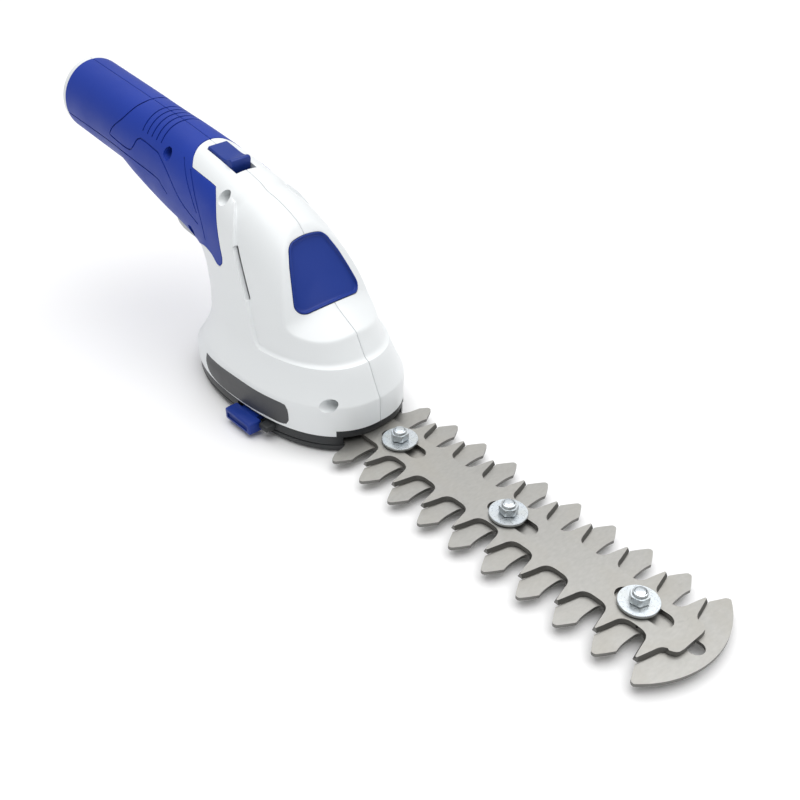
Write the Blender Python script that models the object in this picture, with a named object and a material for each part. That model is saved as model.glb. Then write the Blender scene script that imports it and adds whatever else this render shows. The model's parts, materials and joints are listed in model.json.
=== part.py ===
"""Cordless shrub shears: a handle with a battery, a geared crank drive and a sliding toothed blade.

X runs forward along the blade, Y to the user's left, Z up. The origin is on the flat sole, right
under the crank's axis. Sizes below are in millimetres; meshes are written in metres.
"""

import math

import bmesh
import bpy
from mathutils import Matrix, Vector

MM = 0.001

# Clearances
GAP = 0.3
SEAM = 0.3
RUNNING = 0.08
WALL = 2.4

# Handle, an oval tube that rises towards its rear end
HANDLE_WIDTH = 35.6
HANDLE_HEIGHT = 38.4
HANDLE_RISE = math.radians(6.06)
HANDLE_REAR_X = -181.5
HANDLE_TOP_X = -116.0
HANDLE_TOP_Z = 114.3
END_CAP_LENGTH = 4.0
END_ROUND = 2.0
END_WALL = 3.0

# Base outline, a rounded oval on the floor side of the housing
BASE_FRONT_X = 45.1
BASE_LENGTH = 121.2
BASE_WIDTH = 71.4
BASE_SQUARENESS = 2.36
SHELL_BOTTOM_Z = 9.3
SKIRT_TOP_Z = 20.5

# Neck between the skirt and the handle: front x and z, back x and z, half width, squareness
NECK_STATIONS = (
    (38.6, 38.5, -66.0, 28.5, 31.2, 2.36),
    (37.0, 41.0, -65.3, 30.2, 30.7, 2.36),
    (32.5, 49.8, -63.5, 35.0, 29.7, 2.36),
    (28.0, 57.5, -62.8, 38.5, 29.0, 2.4),
    (19.0, 67.5, -62.5, 41.5, 27.9, 2.4),
    (6.0, 78.5, -62.5, 44.0, 26.2, 2.4),
    (-8.7, 88.6, -62.6, 46.6, 24.6, 2.4),
    (-20.0, 95.0, -62.8, 49.0, 23.2, 2.4),
    (-32.0, 99.6, -63.6, 52.0, 21.9, 2.4),
    (-45.0, 102.9, -66.0, 55.5, 20.5, 2.35),
    (-60.0, 106.4, -73.0, 58.5, 19.5, 2.3),
    (-76.0, 109.4, -84.0, 61.0, 18.8, 2.2),
    (-92.0, 111.7, -98.0, 64.0, 18.3, 2.15),
    (-118.0, 114.5, -126.0, 73.0, 17.8, 2.05),
)
OUTSIDE_COUNT = 24
INSIDE_COUNT = 16

# Sloping front of the hood: window facet above, shelf facet below, and their concave corner
FACET_CORNER_X = 15.7
FACET_CORNER_Z = 59.6
WINDOW_SLOPE = math.radians(49.8)
SHELF_SLOPE = math.radians(29.0)
FACET_WALL = 4.8
WINDOW_LENGTH = 31.0
WINDOW_MARGIN = 0.8
WINDOW_TOP_HALF = 9.9
WINDOW_BOTTOM_HALF = 16.6
WINDOW_CORNER = 3.0
WINDOW_DEPTH = 2.0
WINDOW_PROUD = 0.5
WINDOW_RIM = 1.3
WINDOW_DISH = 1.1

# Front panel, set back below the hood and behind a ridge
BIB_DEPTH = 1.1
BIB_RIDGE_Z = 40.6
BIB_EDGE = ((-3.5, 40.6), (-6.1, 44.0), (-12.6, 57.0), (-19.5, 68.0), (-25.8, 78.5), (-34.0, 94.5))

# Soft grip
GRIP_THICKNESS = 1.6
GRIP_OUTLINE = (
    (-72.4, 108.9), (-71.4, 107.1), (-69.3, 104.0), (-66.6, 100.7), (-50.2, 98.0), (-47.4, 96.7),
    (-43.7, 91.8), (-39.3, 83.1), (-35.7, 76.3), (-33.0, 71.5), (-32.8, 69.4), (-34.2, 67.6),
    (-37.0, 67.0), (-44.0, 69.4), (-53.0, 69.4), (-62.0, 65.6), (-73.0, 58.5),
)
RIB_COUNT = 5
RIB_PITCH = 4.0
RIB_FIRST_X = -109.0
RIB_WIDTH = 0.8
RIB_DEPTH = 0.6
RIB_BOTTOM_Z = 104.2

# Housing screws along Y
SCREW_PLACES = {
    "front": (35.6, 25.6),
    "neck": (-40.5, 95.1),
    "grip": (-86.0, 101.6),
    "low": (-68.0, 70.0),
}
SCREW_SHANK_R = 1.5
SCREW_HEAD_R = 2.6
SCREW_HEAD_HEIGHT = 2.2
SCREW_REACH = 9.0
COUNTERBORE_R = 3.0
BOSS_R = 3.9
SCREW_SEAT = 3.0
RIB_THICKNESS = 1.8
CELL_RIBS = (8.0, 57.0, 76.0, 116.0)

# Vent slit on each side of the neck
VENT_TOP = (-24.1, 78.7)
VENT_BOTTOM = (-12.9, 59.8)
VENT_WIDTH = 0.9

# Lock-off slider on top of the neck
SLIDER_REAR_X = -66.5
SLIDER_LENGTH = 18.5
SLIDER_HALF = 5.2
SLIDER_TRAVEL = 4.0
SLIDER_PROUD = 1.2
SLIDER_LIP = 3.2
SLIDER_THICKNESS = 3.4
SLIDER_SLOT_DEPTH = 4.6
SLIDER_FLANGE_HALF = 7.0
SLIDER_FLANGE_DEPTH = 4.4
SLIDER_FLANGE_THICKNESS = 1.2
SLIDER_FLANGE_END = 3.5

# Trigger under the neck
TRIGGER_PIVOT_X = -77.5
TRIGGER_PIVOT_Z = 65.6
TRIGGER_HALF = 6.5
TRIGGER_REAR_X = -99.0
TRIGGER_NOSE_Z = 62.4
TRIGGER_TOP_Z = 67.6
TRIGGER_FRONT_X = -74.3
TRIGGER_PIN_R = 1.5
TRIGGER_PIN_HALF = 8.6
TRIGGER_SWING = math.radians(7.0)
SPRING_X = -93.6
SPRING_R = 2.0
SPRING_WIRE_R = 0.35
SPRING_TURNS = 5
SHELF_BOTTOM_Z = 71.0
SHELF_THICKNESS = 2.0

# Switch, battery and charge board
SWITCH_X = -84.2
SWITCH_LENGTH = 13.0
SWITCH_HALF = 3.2
SWITCH_HEIGHT = 6.2
PLUNGER_R = 1.2
PLUNGER_REACH = 1.0
CELL_R = 9.15
CELL_LENGTH = 65.0
CELL_REAR_X = -172.5
CELL_REAR_Z = 100.6
CELL_FALL = math.radians(8.4)
BOARD_THICKNESS = 1.2
SOCKET_R = 3.4
LENS_R = 2.4

# Blade set
PITCH = 18.0
FIRST_SHOULDER_X = 34.0
COMB_BOTTOM_Z = 4.5
COMB_THICKNESS = 1.5
COMB_TEETH = 9
COMB_TOOTH_LAG = 5.4
COMB_TIP_Y = 29.0
COMB_SHOULDER_Y = 22.3
COMB_NECK_Y = 15.5
COMB_ROOT_Y = 9.4
COMB_SHOULDER_HALF = 5.1
COMB_NECK_HALF = 3.6
COMB_TIP_HALF = 1.2
COMB_TAIL_HALF = 16.7
COMB_TAIL_X = -27.0
NOSE_X = 220.5
NOSE_HOLE_FRONT = 216.8
NOSE_HOLE_REAR = 199.0
NOSE_HOLE_HALF = 3.35
CUTTER_THICKNESS = 2.0
CUTTER_TEETH = 9
CUTTER_TOOTH_LAG = 11.2
CUTTER_ROOT_Y = 9.0
CUTTER_TIP_Y = 20.5
CUTTER_TOOTH_ROOT_HALF = 4.2
CUTTER_TOOTH_TIP_HALF = 2.4
CUTTER_BEVEL = 1.7
CUTTER_NOSE_X = 211.4
CUTTER_NOSE_HALF = 8.0
CUTTER_TAIL_X = -9.0
SLOT_HALF = 4.0
SLOT_LENGTH = 25.0
SLOT_FIRST_FRONT = 72.9
BOLT_FIRST_X = 58.0
BOLT_SPACING = 65.0
BOLT_COUNT = 3
BOLT_R = 2.0
BOLT_HEAD_R = 3.9
BOLT_HEAD_HEIGHT = 2.4
SLEEVE_R = 3.7
WASHER_R = 8.0
WASHER_THICKNESS = 1.2
NUT_FLATS = 7.0
NUT_HEIGHT = 3.2
NUT_COLLAR_R = 2.9
NUT_COLLAR_HEIGHT = 1.2
RIVET_R = 1.5
RIVET_HEAD_R = 2.6
RIVET_HEAD_HEIGHT = 1.0
COMB_RIVETS = ((31.0, 13.0), (31.0, -13.0), (-21.0, 13.0), (-21.0, -13.0))

# Drive
THROW = 6.0
REST_AHEAD = 3.1
CRANK_REST = math.radians(46.5)
CRANK_PIN_R = 3.0
BUSH_R = 4.5
YOKE_HALF_X = 12.0
YOKE_HALF_Y = 15.2
YOKE_HEIGHT = 5.2
YOKE_SLOT_HALF_X = 6.2
YOKE_SLOT_HALF_Y = 11.6
YOKE_RIVET_X = 9.1
GEAR_MODULE = 0.8
GEAR_TEETH = 45
PINION_TEETH = 9
GEAR_BOTTOM_Z = 20.0
GEAR_WIDTH = 6.0
GEAR_HUB_R = 6.0
AXLE_R = 2.5
AXLE_HEAD_R = 4.0
MOTOR_R = 14.0
MOTOR_LENGTH = 38.0
MOTOR_FLAT_HALF = 12.0
MOTOR_BOSS_R = 5.0
MOTOR_SHAFT_R = 1.15
MOTOR_SCREW_Y = 8.0
PLATE_BOTTOM_Z = 29.3
PLATE_THICKNESS = 2.0

# Black base and blade carrier
BASE_STEP = 0.5
CARRIER_TOP_Z = 4.2
CARRIER_CHAMFER = 1.6
BASE_BOTTOM_Z = 4.5
SLOT_TOP_Z = 8.7
LIP_TOP_Z = 12.2
LIP_HALF = 19.5
LIP_LENGTH = 18.1
LIP_STEP = 0.2
CHANNEL_HALF = 17.2
CHANNEL_REAR_X = -29.0
YOKE_ROOM_FRONT = 19.0
YOKE_ROOM_TOP = 15.8
DECK_TOP_Z = 18.4
CRANK_HOLE_R = 11.6
POST_R = 3.4
POST_PLACES = ((15.0, 18.0), (15.0, -18.0), (-38.0, 16.0), (-38.0, -16.0))
PLATE_SCREW_R = 1.3
PLATE_SCREW_HEAD_R = 2.6

# Release latches, one on each side
LATCH_REAR_X = -15.0
LATCH_LENGTH = 19.0
LATCH_BOTTOM_Z = 2.2
LATCH_TOP_Z = 8.2
LATCH_REACH = 7.1
LATCH_STANDOFF = 0.2
LATCH_DISH = 0.8
LATCH_DISH_RIM = 1.6
LATCH_STEM_HALF = 5.5
LATCH_STEM_LENGTH = 11.7
LATCH_STEM_BOTTOM_Z = 4.9
LATCH_TRAVEL = 3.0
POCKET_SPARE = 0.5
GUARD_LENGTH = 7.0
GUARD_REACH = 3.0
GUARD_BOTTOM_Z = 4.9

WHITE = ("white_shell", (0.86, 0.88, 0.88), 0.38, 0.0)
BLUE = ("blue_grip", (0.030, 0.052, 0.32), 0.5, 0.0)
GREY = ("grey_plastic", (0.55, 0.56, 0.57), 0.45, 0.0)
BLACK = ("black_base", (0.018, 0.019, 0.021), 0.5, 0.0)
BLADE = ("ground_steel", (0.52, 0.51, 0.49), 0.34, 1.0)
ZINC = ("zinc_plate", (0.76, 0.77, 0.78), 0.25, 1.0)
STEEL = ("bare_steel", (0.55, 0.55, 0.56), 0.35, 1.0)
DARK_STEEL = ("dark_steel", (0.20, 0.20, 0.21), 0.45, 1.0)
NYLON = ("nylon", (0.80, 0.79, 0.74), 0.5, 0.0)
BOARD_GREEN = ("circuit_board", (0.02, 0.16, 0.07), 0.5, 0.0)
CELL_WRAP = ("cell_wrap", (0.10, 0.32, 0.40), 0.4, 0.0)
CLEAR = ("lens", (0.55, 0.58, 0.60), 0.2, 0.0)
BRASS = ("bronze_bush", (0.55, 0.36, 0.16), 0.35, 1.0)


def clear_scene():
    for old in list(bpy.data.objects):
        bpy.data.objects.remove(old, do_unlink=True)


def material(spec):
    name, colour, roughness, metallic = spec
    found = bpy.data.materials.get(name)
    if found:
        return found
    made = bpy.data.materials.new(name)
    made.use_nodes = True
    shader = made.node_tree.nodes["Principled BSDF"]
    shader.inputs["Base Color"].default_value = (*colour, 1.0)
    shader.inputs["Roughness"].default_value = roughness
    shader.inputs["Metallic"].default_value = metallic
    return made


def new_object(name, bm, spec=None, origin=(0.0, 0.0, 0.0), smooth=35.0):
    """Turn a mesh in millimetres into an object in metres with its origin at a given point."""
    bmesh.ops.recalc_face_normals(bm, faces=bm.faces)
    shift = Vector(origin)
    for vert in bm.verts:
        vert.co = (vert.co - shift) * MM
    mesh = bpy.data.meshes.new(name)
    bm.to_mesh(mesh)
    bm.free()
    mesh.shade_smooth()
    mesh.set_sharp_from_angle(angle=math.radians(smooth))
    made = bpy.data.objects.new(name, mesh)
    made.location = shift * MM
    bpy.context.scene.collection.objects.link(made)
    if spec:
        mesh.materials.append(material(spec))
    else:
        made.hide_render = True
        made.display_type = "WIRE"
    return made


def boolean(target, tool, operation="DIFFERENCE"):
    step = target.modifiers.new(tool.name, "BOOLEAN")
    step.operation = operation
    step.solver = "EXACT"
    step.object = tool
    return target


def cut_all(target, *tools):
    for tool in tools:
        boolean(target, tool)
    return target


def skin(bm, rings, closed_ring=True):
    """Join rings of equal length into a tube and close both ends."""
    rows = [[bm.verts.new(point) for point in ring] for ring in rings]
    count = len(rows[0])
    last = count if closed_ring else count - 1
    for low, high in zip(rows, rows[1:]):
        for k in range(last):
            after = (k + 1) % count
            bm.faces.new((low[k], low[after], high[after], high[k]))
    bm.faces.new(rows[0])
    bm.faces.new(rows[-1])
    return bm


def prism(outline, low, high, axis="Z"):
    """Extrude a flat outline between two heights along an axis."""
    bm = bmesh.new()
    place = {
        "X": lambda p, h: (h, p[0], p[1]),
        "Y": lambda p, h: (p[0], h, p[1]),
        "Z": lambda p, h: (p[0], p[1], h),
    }[axis]
    skin(bm, [[place(p, low) for p in outline], [place(p, high) for p in outline]])
    return bm


def box(low, high):
    x0, y0, z0 = low
    x1, y1, z1 = high
    return prism([(x0, y0), (x1, y0), (x1, y1), (x0, y1)], z0, z1)


def circle(cx, cy, radius, sides=20, turn=0.0):
    step = math.tau / sides
    return [(cx + radius * math.cos(turn + k * step), cy + radius * math.sin(turn + k * step))
            for k in range(sides)]


def turned(centre, steps, sides=20, axis="Z"):
    """A turned piece: steps are (height, radius) pairs along the axis from the centre."""
    bm = bmesh.new()
    cx, cy, cz = centre
    rings = []
    for height, radius in steps:
        ring = []
        for a, b in circle(0.0, 0.0, radius, sides):
            if axis == "Z":
                ring.append((cx + a, cy + b, cz + height))
            elif axis == "Y":
                ring.append((cx + a, cy + height, cz + b))
            else:
                ring.append((cx + height, cy + a, cz + b))
        rings.append(ring)
    return skin(bm, rings)


def cylinder(centre, radius, length, sides=20, axis="Z"):
    return turned(centre, ((0.0, radius), (length, radius)), sides, axis)


def tube(centre, inner, outer, length, sides=24):
    """A ring with a bore, standing on its centre point."""
    bm = bmesh.new()
    cx, cy, cz = centre
    loops = []
    for radius, height in ((outer, 0.0), (outer, length), (inner, length), (inner, 0.0)):
        loops.append([bm.verts.new((cx + a, cy + b, cz + height))
                      for a, b in circle(0.0, 0.0, radius, sides)])
    for low, high in zip(loops, loops[1:] + loops[:1]):
        for k in range(sides):
            after = (k + 1) % sides
            bm.faces.new((low[k], low[after], high[after], high[k]))
    return bm


def rounded_box(low, high, radius, steps=3):
    """A block with its four upright edges rounded."""
    x0, y0, z0 = low
    x1, y1, z1 = high
    corners = ((x1 - radius, y1 - radius, 0), (x0 + radius, y1 - radius, 1),
               (x0 + radius, y0 + radius, 2), (x1 - radius, y0 + radius, 3))
    outline = []
    for cx, cy, quarter in corners:
        for k in range(steps + 1):
            angle = math.pi / 2 * (quarter + k / steps)
            outline.append((cx + radius * math.cos(angle), cy + radius * math.sin(angle)))
    return prism(outline, z0, z1)


def bevelled(bm, width, sharper_than=40.0, segments=1):
    """Bevel every edge that is sharper than an angle."""
    bmesh.ops.recalc_face_normals(bm, faces=bm.faces)
    edges = [edge for edge in bm.edges
             if edge.is_manifold and edge.calc_face_angle(0.0) > math.radians(sharper_than)]
    bmesh.ops.bevel(bm, geom=edges, offset=width, segments=segments, profile=0.5,
                    affect="EDGES", clamp_overlap=True)
    return bm


def signed_power(value, power):
    return math.copysign(abs(value) ** power, value)


def handle_station(top_x, inset=0.0):
    """A round section square to the handle, given by where it meets the top line."""
    top_z = HANDLE_TOP_Z - math.tan(HANDLE_RISE) * (top_x - HANDLE_TOP_X)
    along_x = -math.sin(HANDLE_RISE)
    along_z = -math.cos(HANDLE_RISE)
    depth = HANDLE_HEIGHT - inset
    return (top_x + along_x * inset, top_z + along_z * inset,
            top_x + along_x * depth, top_z + along_z * depth, HANDLE_WIDTH / 2 - inset, 2.0)


def base_station(z, inset=0.0, back_drop=0.0):
    """A level section of the skirt."""
    return (BASE_FRONT_X - inset, z, BASE_FRONT_X - BASE_LENGTH + inset, z - back_drop,
            BASE_WIDTH / 2 - inset, BASE_SQUARENESS)


def form_stations():
    """Sections of the whole housing from the rear end down to the base."""
    grip_end = HANDLE_REAR_X + END_CAP_LENGTH
    rear = [handle_station(HANDLE_REAR_X - 0.2, END_ROUND),
            handle_station(HANDLE_REAR_X + END_ROUND * 0.3, END_ROUND * 0.3),
            handle_station(HANDLE_REAR_X + END_ROUND),
            handle_station(grip_end),
            handle_station((grip_end + NECK_STATIONS[-1][0]) / 2)]
    skirt_back = 3.2
    skirt = [(BASE_FRONT_X - 0.7, 22.5, BASE_FRONT_X - BASE_LENGTH + 5.2, 20.0,
              BASE_WIDTH / 2 - 0.5, BASE_SQUARENESS),
             base_station(SKIRT_TOP_Z - 1.0, 0.0, skirt_back),
             base_station(SHELL_BOTTOM_Z)]
    neck = list(reversed(NECK_STATIONS))
    return rear + neck + skirt


def section_point(station, turn, side, inset):
    """A point of a section; turn is 0 at the front or top and pi at the back or bottom."""
    fx, fz, bx, bz, half, squareness = station
    length = math.hypot(fx - bx, fz - bz)
    shrink = (length - 2 * inset) / length
    along = signed_power(math.cos(turn), 2 / squareness) * shrink / 2
    across = signed_power(math.sin(turn), 2 / squareness) * (half - inset)
    return ((fx + bx) / 2 + (fx - bx) * along, side * across, (fz + bz) / 2 + (fz - bz) * along)


def whole_form(inset, stations=None, count=INSIDE_COUNT):
    """The whole form drawn in by an even amount; inner walls take fewer points than the outside."""
    bm = bmesh.new()
    rings = []
    for station in stations or form_stations():
        rings.append([section_point(station, math.tau * k / count, 1, inset) for k in range(count)])
    skin(bm, rings)
    bmesh.ops.triangulate(bm, faces=bm.faces)
    return bm


def facet_outline(back_off):
    """Side outline of what is cut from the hood's front, moved back by an amount."""
    up = (-math.cos(WINDOW_SLOPE), math.sin(WINDOW_SLOPE))
    down = (math.cos(SHELF_SLOPE), -math.sin(SHELF_SLOPE))
    reach = back_off / math.cos((WINDOW_SLOPE - SHELF_SLOPE) / 2)
    middle = (WINDOW_SLOPE + SHELF_SLOPE) / 2
    corner = (FACET_CORNER_X - math.sin(middle) * reach, FACET_CORNER_Z - math.cos(middle) * reach)
    top = (corner[0] + up[0] * 60, corner[1] + up[1] * 60)
    low = (corner[0] + down[0] * 40, corner[1] + down[1] * 40)
    far = (corner[0] + 90, corner[1] + 60)
    return [corner, low, (far[0], low[1]), far, (top[0], far[1]), top]


def facet_cutter(name, back_off):
    return new_object(name, prism(facet_outline(back_off), -50.0, 50.0, "Y"))


def on_facet(along, across, out):
    """A point on the window facet: up its slope from the concave corner, across, and out of it."""
    x = FACET_CORNER_X - math.cos(WINDOW_SLOPE) * along + math.sin(WINDOW_SLOPE) * out
    z = FACET_CORNER_Z + math.sin(WINDOW_SLOPE) * along + math.cos(WINDOW_SLOPE) * out
    return (x, across, z)


def window_outline(grow):
    """Trapezoid with round corners, as (along, across) pairs."""
    low = WINDOW_MARGIN - grow
    high = WINDOW_MARGIN + WINDOW_LENGTH + grow
    corners = ((low, -WINDOW_BOTTOM_HALF - grow), (low, WINDOW_BOTTOM_HALF + grow),
               (high, WINDOW_TOP_HALF + grow), (high, -WINDOW_TOP_HALF - grow))
    return round_corners(corners, WINDOW_CORNER + grow, 4)


def round_corners(corners, radius, steps):
    """Replace each corner of a polygon with an arc."""
    outline = []
    count = len(corners)
    for k, corner in enumerate(corners):
        here = Vector(corner)
        before = (Vector(corners[k - 1]) - here).normalized()
        after = (Vector(corners[(k + 1) % count]) - here).normalized()
        half_angle = before.angle(after) / 2
        centre = here + (before + after).normalized() * radius / math.sin(half_angle)
        start = here + before * radius / math.tan(half_angle) - centre
        end = here + after * radius / math.tan(half_angle) - centre
        sweep = start.angle_signed(end)
        for s in range(steps + 1):
            angle = -sweep * s / steps
            turned_arm = Matrix.Rotation(angle, 2) @ start
            outline.append(tuple(centre + turned_arm))
    return outline


def window_solid(grow, low, high):
    bm = bmesh.new()
    return skin(bm, [[on_facet(a, c, out) for a, c in window_outline(grow)] for out in (low, high)])


def offset_outline(outline, amount):
    """Move a closed outline outwards by a small amount."""
    count = len(outline)
    area = sum(Vector(outline[k - 1]).cross(Vector(outline[k])) for k in range(count))
    sign = 1.0 if area > 0 else -1.0
    moved = []
    for k in range(count):
        before = (Vector(outline[k]) - Vector(outline[k - 1])).normalized()
        after = (Vector(outline[(k + 1) % count]) - Vector(outline[k])).normalized()
        normal_a = Vector((before.y, -before.x)) * sign
        normal_b = Vector((after.y, -after.x)) * sign
        mitre = (normal_a + normal_b) / (1.0 + normal_a.dot(normal_b))
        moved.append(tuple(Vector(outline[k]) + mitre * amount))
    return moved


def grip_region(grow):
    """Side outline of the soft grip, run out past the surface above, below and at the rear."""
    rear = handle_station(HANDLE_REAR_X + END_CAP_LENGTH)
    lean = math.tan(HANDLE_RISE)
    outline = [(rear[0] + lean * 12, rear[1] + 12), (-74.0, rear[1] + 12)]
    outline += GRIP_OUTLINE
    outline += [(-77.0, 45.0), (rear[2] - lean * 38, 45.0)]
    return offset_outline(outline, grow)


def grip_recess():
    """What the grips take out of the housing."""
    region = new_object("grip_recess_cutter", prism(grip_region(GAP), -40.0, 40.0, "Y"))
    core = new_object("grip_recess_core", whole_form(GRIP_THICKNESS + GAP))
    return boolean(region, core)


def bib_cutter():
    """Skin that is removed to set the front panel back behind its ridge."""
    outline = [*BIB_EDGE, (20.0, 110.0), (70.0, 100.0), (70.0, BIB_RIDGE_Z)]
    region = new_object("bib_cutter", prism(outline, -45.0, 45.0, "Y"))
    return boolean(region, new_object("bib_core", whole_form(BIB_DEPTH, count=OUTSIDE_COUNT)))


def cavity():
    """Room inside the housing, open at the base."""
    stations = form_stations()
    first = handle_station(HANDLE_REAR_X + END_WALL)
    kept = [station for station in stations if station[0] > first[0] + 1.0]
    floor = base_station(SHELL_BOTTOM_Z - 6.0)
    body = new_object("cavity", whole_form(WALL, [first, *kept, floor]))
    thicker_grip = new_object("cavity_grip_limit", prism(grip_region(2.0), -40.0, 40.0, "Y"))
    core = new_object("cavity_grip_core", whole_form(WALL + GRIP_THICKNESS + GAP))
    boolean(thicker_grip, core)
    boolean(body, thicker_grip)
    boolean(body, facet_cutter("cavity_facets", FACET_WALL))
    return cut_all(body, *support_ribs(), *screw_bosses())


def slider_slope():
    """Slope of the top line under the slider."""
    tops = sorted((station[0], station[1]) for station in NECK_STATIONS)
    middle = SLIDER_REAR_X + SLIDER_LENGTH / 2
    for (x0, z0), (x1, z1) in zip(tops, tops[1:]):
        if x0 <= middle <= x1:
            return math.atan2(z0 - z1, x1 - x0)
    raise ValueError("outside the top line")


def top_line_z(x):
    """Height of the top line between the hood and the handle."""
    tops = sorted((station[0], station[1]) for station in NECK_STATIONS)
    for (x0, z0), (x1, z1) in zip(tops, tops[1:]):
        if x0 <= x <= x1:
            return z0 + (z1 - z0) * (x - x0) / (x1 - x0)
    raise ValueError("outside the top line")


def slider_point(along, across, up):
    """A point in the slider's own frame: from its rear end forward, across and off the housing."""
    slope = slider_slope()
    base_z = top_line_z(SLIDER_REAR_X)
    x = SLIDER_REAR_X + math.cos(slope) * along + math.sin(slope) * up
    z = base_z - math.sin(slope) * along + math.cos(slope) * up
    return (x, across, z)


def slider_slot():
    length = SLIDER_LENGTH + SLIDER_TRAVEL + GAP
    outline = [(-GAP, -SLIDER_SLOT_DEPTH), (length, -SLIDER_SLOT_DEPTH), (length, 6.0), (-GAP, 6.0)]
    half = SLIDER_HALF + GAP
    bm = bmesh.new()
    skin(bm, [[slider_point(a, side * half, u) for a, u in outline] for side in (-1, 1)])
    return new_object("slider_slot_cutter", bm)


def flange_prism(name, grow, travel):
    """The slider's foot, or the room it needs to slide in."""
    low = -SLIDER_FLANGE_DEPTH - grow
    high = SLIDER_FLANGE_THICKNESS - SLIDER_FLANGE_DEPTH + grow
    rear, front = SLIDER_FLANGE_END - grow, SLIDER_LENGTH - 1.0 + travel + grow
    outline = [(rear, low), (front, low), (front, high), (rear, high)]
    half = SLIDER_FLANGE_HALF + grow
    bm = bmesh.new()
    skin(bm, [[slider_point(a, side * half, u) for a, u in outline] for side in (-1, 1)])
    return new_object(name, bm)


def trigger_slot():
    """Opening under the neck that the trigger swings in."""
    half = TRIGGER_HALF + GAP
    return new_object("trigger_slot_cutter",
                      box((TRIGGER_REAR_X - 0.6, -half, 40.0),
                          (TRIGGER_FRONT_X + 0.4, half, SHELF_BOTTOM_Z - GAP)))


def vent_cutter():
    """Two slanted slits, one through each side wall, as one long cutter."""
    top, bottom = Vector(VENT_TOP), Vector(VENT_BOTTOM)
    lean = (bottom - top).normalized()
    wide = Vector((-lean.y, lean.x)) * VENT_WIDTH / 2
    outline = [tuple(top + wide), tuple(bottom + wide), tuple(bottom - wide), tuple(top - wide)]
    return new_object("vent_cutter", prism(outline, -40.0, 40.0, "Y"))


def rib_cutter():
    """Five shallow grooves over the top of the grip."""
    bm = bmesh.new()
    for k in range(RIB_COUNT):
        x = RIB_FIRST_X + k * RIB_PITCH
        outline = [(x - RIB_WIDTH / 2, RIB_BOTTOM_Z), (x + RIB_WIDTH / 2, RIB_BOTTOM_Z),
                   (x + RIB_WIDTH / 2, 130.0), (x - RIB_WIDTH / 2, 130.0)]
        skin(bm, [[(px, side * 40.0, pz) for px, pz in outline] for side in (-1, 1)])
    grooves = new_object("rib_cutter", bm)
    return boolean(grooves, new_object("rib_core", whole_form(RIB_DEPTH, count=OUTSIDE_COUNT)))


def lip_notch():
    """Where the black lip of the base stands up into the front of the housing."""
    half = LIP_HALF + GAP
    return new_object("lip_notch_cutter", box((BASE_FRONT_X - LIP_LENGTH - 1.0, -half, 0.0),
                                              (BASE_FRONT_X + 10.0, half, LIP_TOP_Z + GAP)))


def screw_bosses():
    """Bosses for the housing screws, left standing in the cavity from wall to wall."""
    return [new_object(f"boss_{key}", cylinder((x, -60.0, z), BOSS_R, 120.0, 16, "Y"))
            for key, (x, z) in SCREW_PLACES.items()]


def screw_bores():
    """Counterbores in the right half that run on as pilot bores into the left half."""
    made = []
    for key, (x, z) in SCREW_PLACES.items():
        head, shank = COUNTERBORE_R, SCREW_SHANK_R + GAP
        steps = ((-40.0, head), (-SCREW_SEAT, head), (-SCREW_SEAT, shank), (SCREW_REACH + 1.0, shank))
        made.append(new_object(f"bore_{key}", turned((x, 0.0, z), steps, 14, "Y")))
    return made


def support_ribs():
    """Ribs across the cavity that carry the motor and the two cells."""
    motor_rib = new_object("motor_rib", box((-90.0, -50.0, 56.0), (14.0, 50.0, 58.0)))
    room = new_object("motor_room", cylinder((motor_x(), 0.0, 31.0), MOTOR_R + GAP, 44.0, 24))
    made = [boolean(motor_rib, room)]
    bore = new_object("cell_room", along_cells(-2.0, 2 * CELL_LENGTH + 3.0, CELL_R + GAP))
    for key, along in enumerate(CELL_RIBS):
        x, _, z = cell_axis_point(along)
        half = RIB_THICKNESS / 2
        rib = new_object(f"cell_rib_{key}",
                         box((x - half, -50.0, z - 60.0), (x + half, 50.0, z + CELL_R + 3.5)))
        made.append(boolean(rib, bore))
    shelf = new_object("switch_shelf", box((TRIGGER_REAR_X, -50.0, SHELF_BOTTOM_Z),
                                           (TRIGGER_PIVOT_X, 50.0, SHELF_BOTTOM_Z + SHELF_THICKNESS)))
    pocket = box((SWITCH_X - SWITCH_LENGTH / 2 - GAP, -SWITCH_HALF - GAP, 60.0),
                 (SWITCH_X + SWITCH_LENGTH / 2 + GAP, SWITCH_HALF + GAP, 90.0))
    made.append(boolean(shelf, new_object("switch_pocket", pocket)))
    cheek = box((TRIGGER_PIVOT_X - 3.2, -TRIGGER_PIN_HALF - 1.2, 50.0),
                (TRIGGER_PIVOT_X + 3.2, TRIGGER_PIN_HALF + 1.2, TRIGGER_PIVOT_Z + 3.2))
    made.append(new_object("trigger_cheeks", cheek))
    return made


def half_space(side, tag):
    """Everything on one side of the seam."""
    y0, y1 = (SEAM / 2, 60.0) if side > 0 else (-60.0, -SEAM / 2)
    return new_object(f"half_space_{tag}", box((-220.0, y0, -20.0), (80.0, y1, 160.0)))


def cell_axis_point(along):
    """A point on the common axis of the two cells, from the rear cell's rear end."""
    return (CELL_REAR_X + math.cos(CELL_FALL) * along, 0.0,
            CELL_REAR_Z - math.sin(CELL_FALL) * along)


def along_cells(low, high, radius, sides=18):
    """A cylinder on the cells' axis between two stations."""
    bm = bmesh.new()
    rings = []
    across = Vector((math.sin(CELL_FALL), 0.0, math.cos(CELL_FALL)))
    for along in (low, high):
        centre = Vector(cell_axis_point(along))
        rings.append([tuple(centre + across * a + Vector((0, b, 0)))
                      for a, b in circle(0.0, 0.0, radius, sides)])
    return skin(bm, rings)


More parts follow.
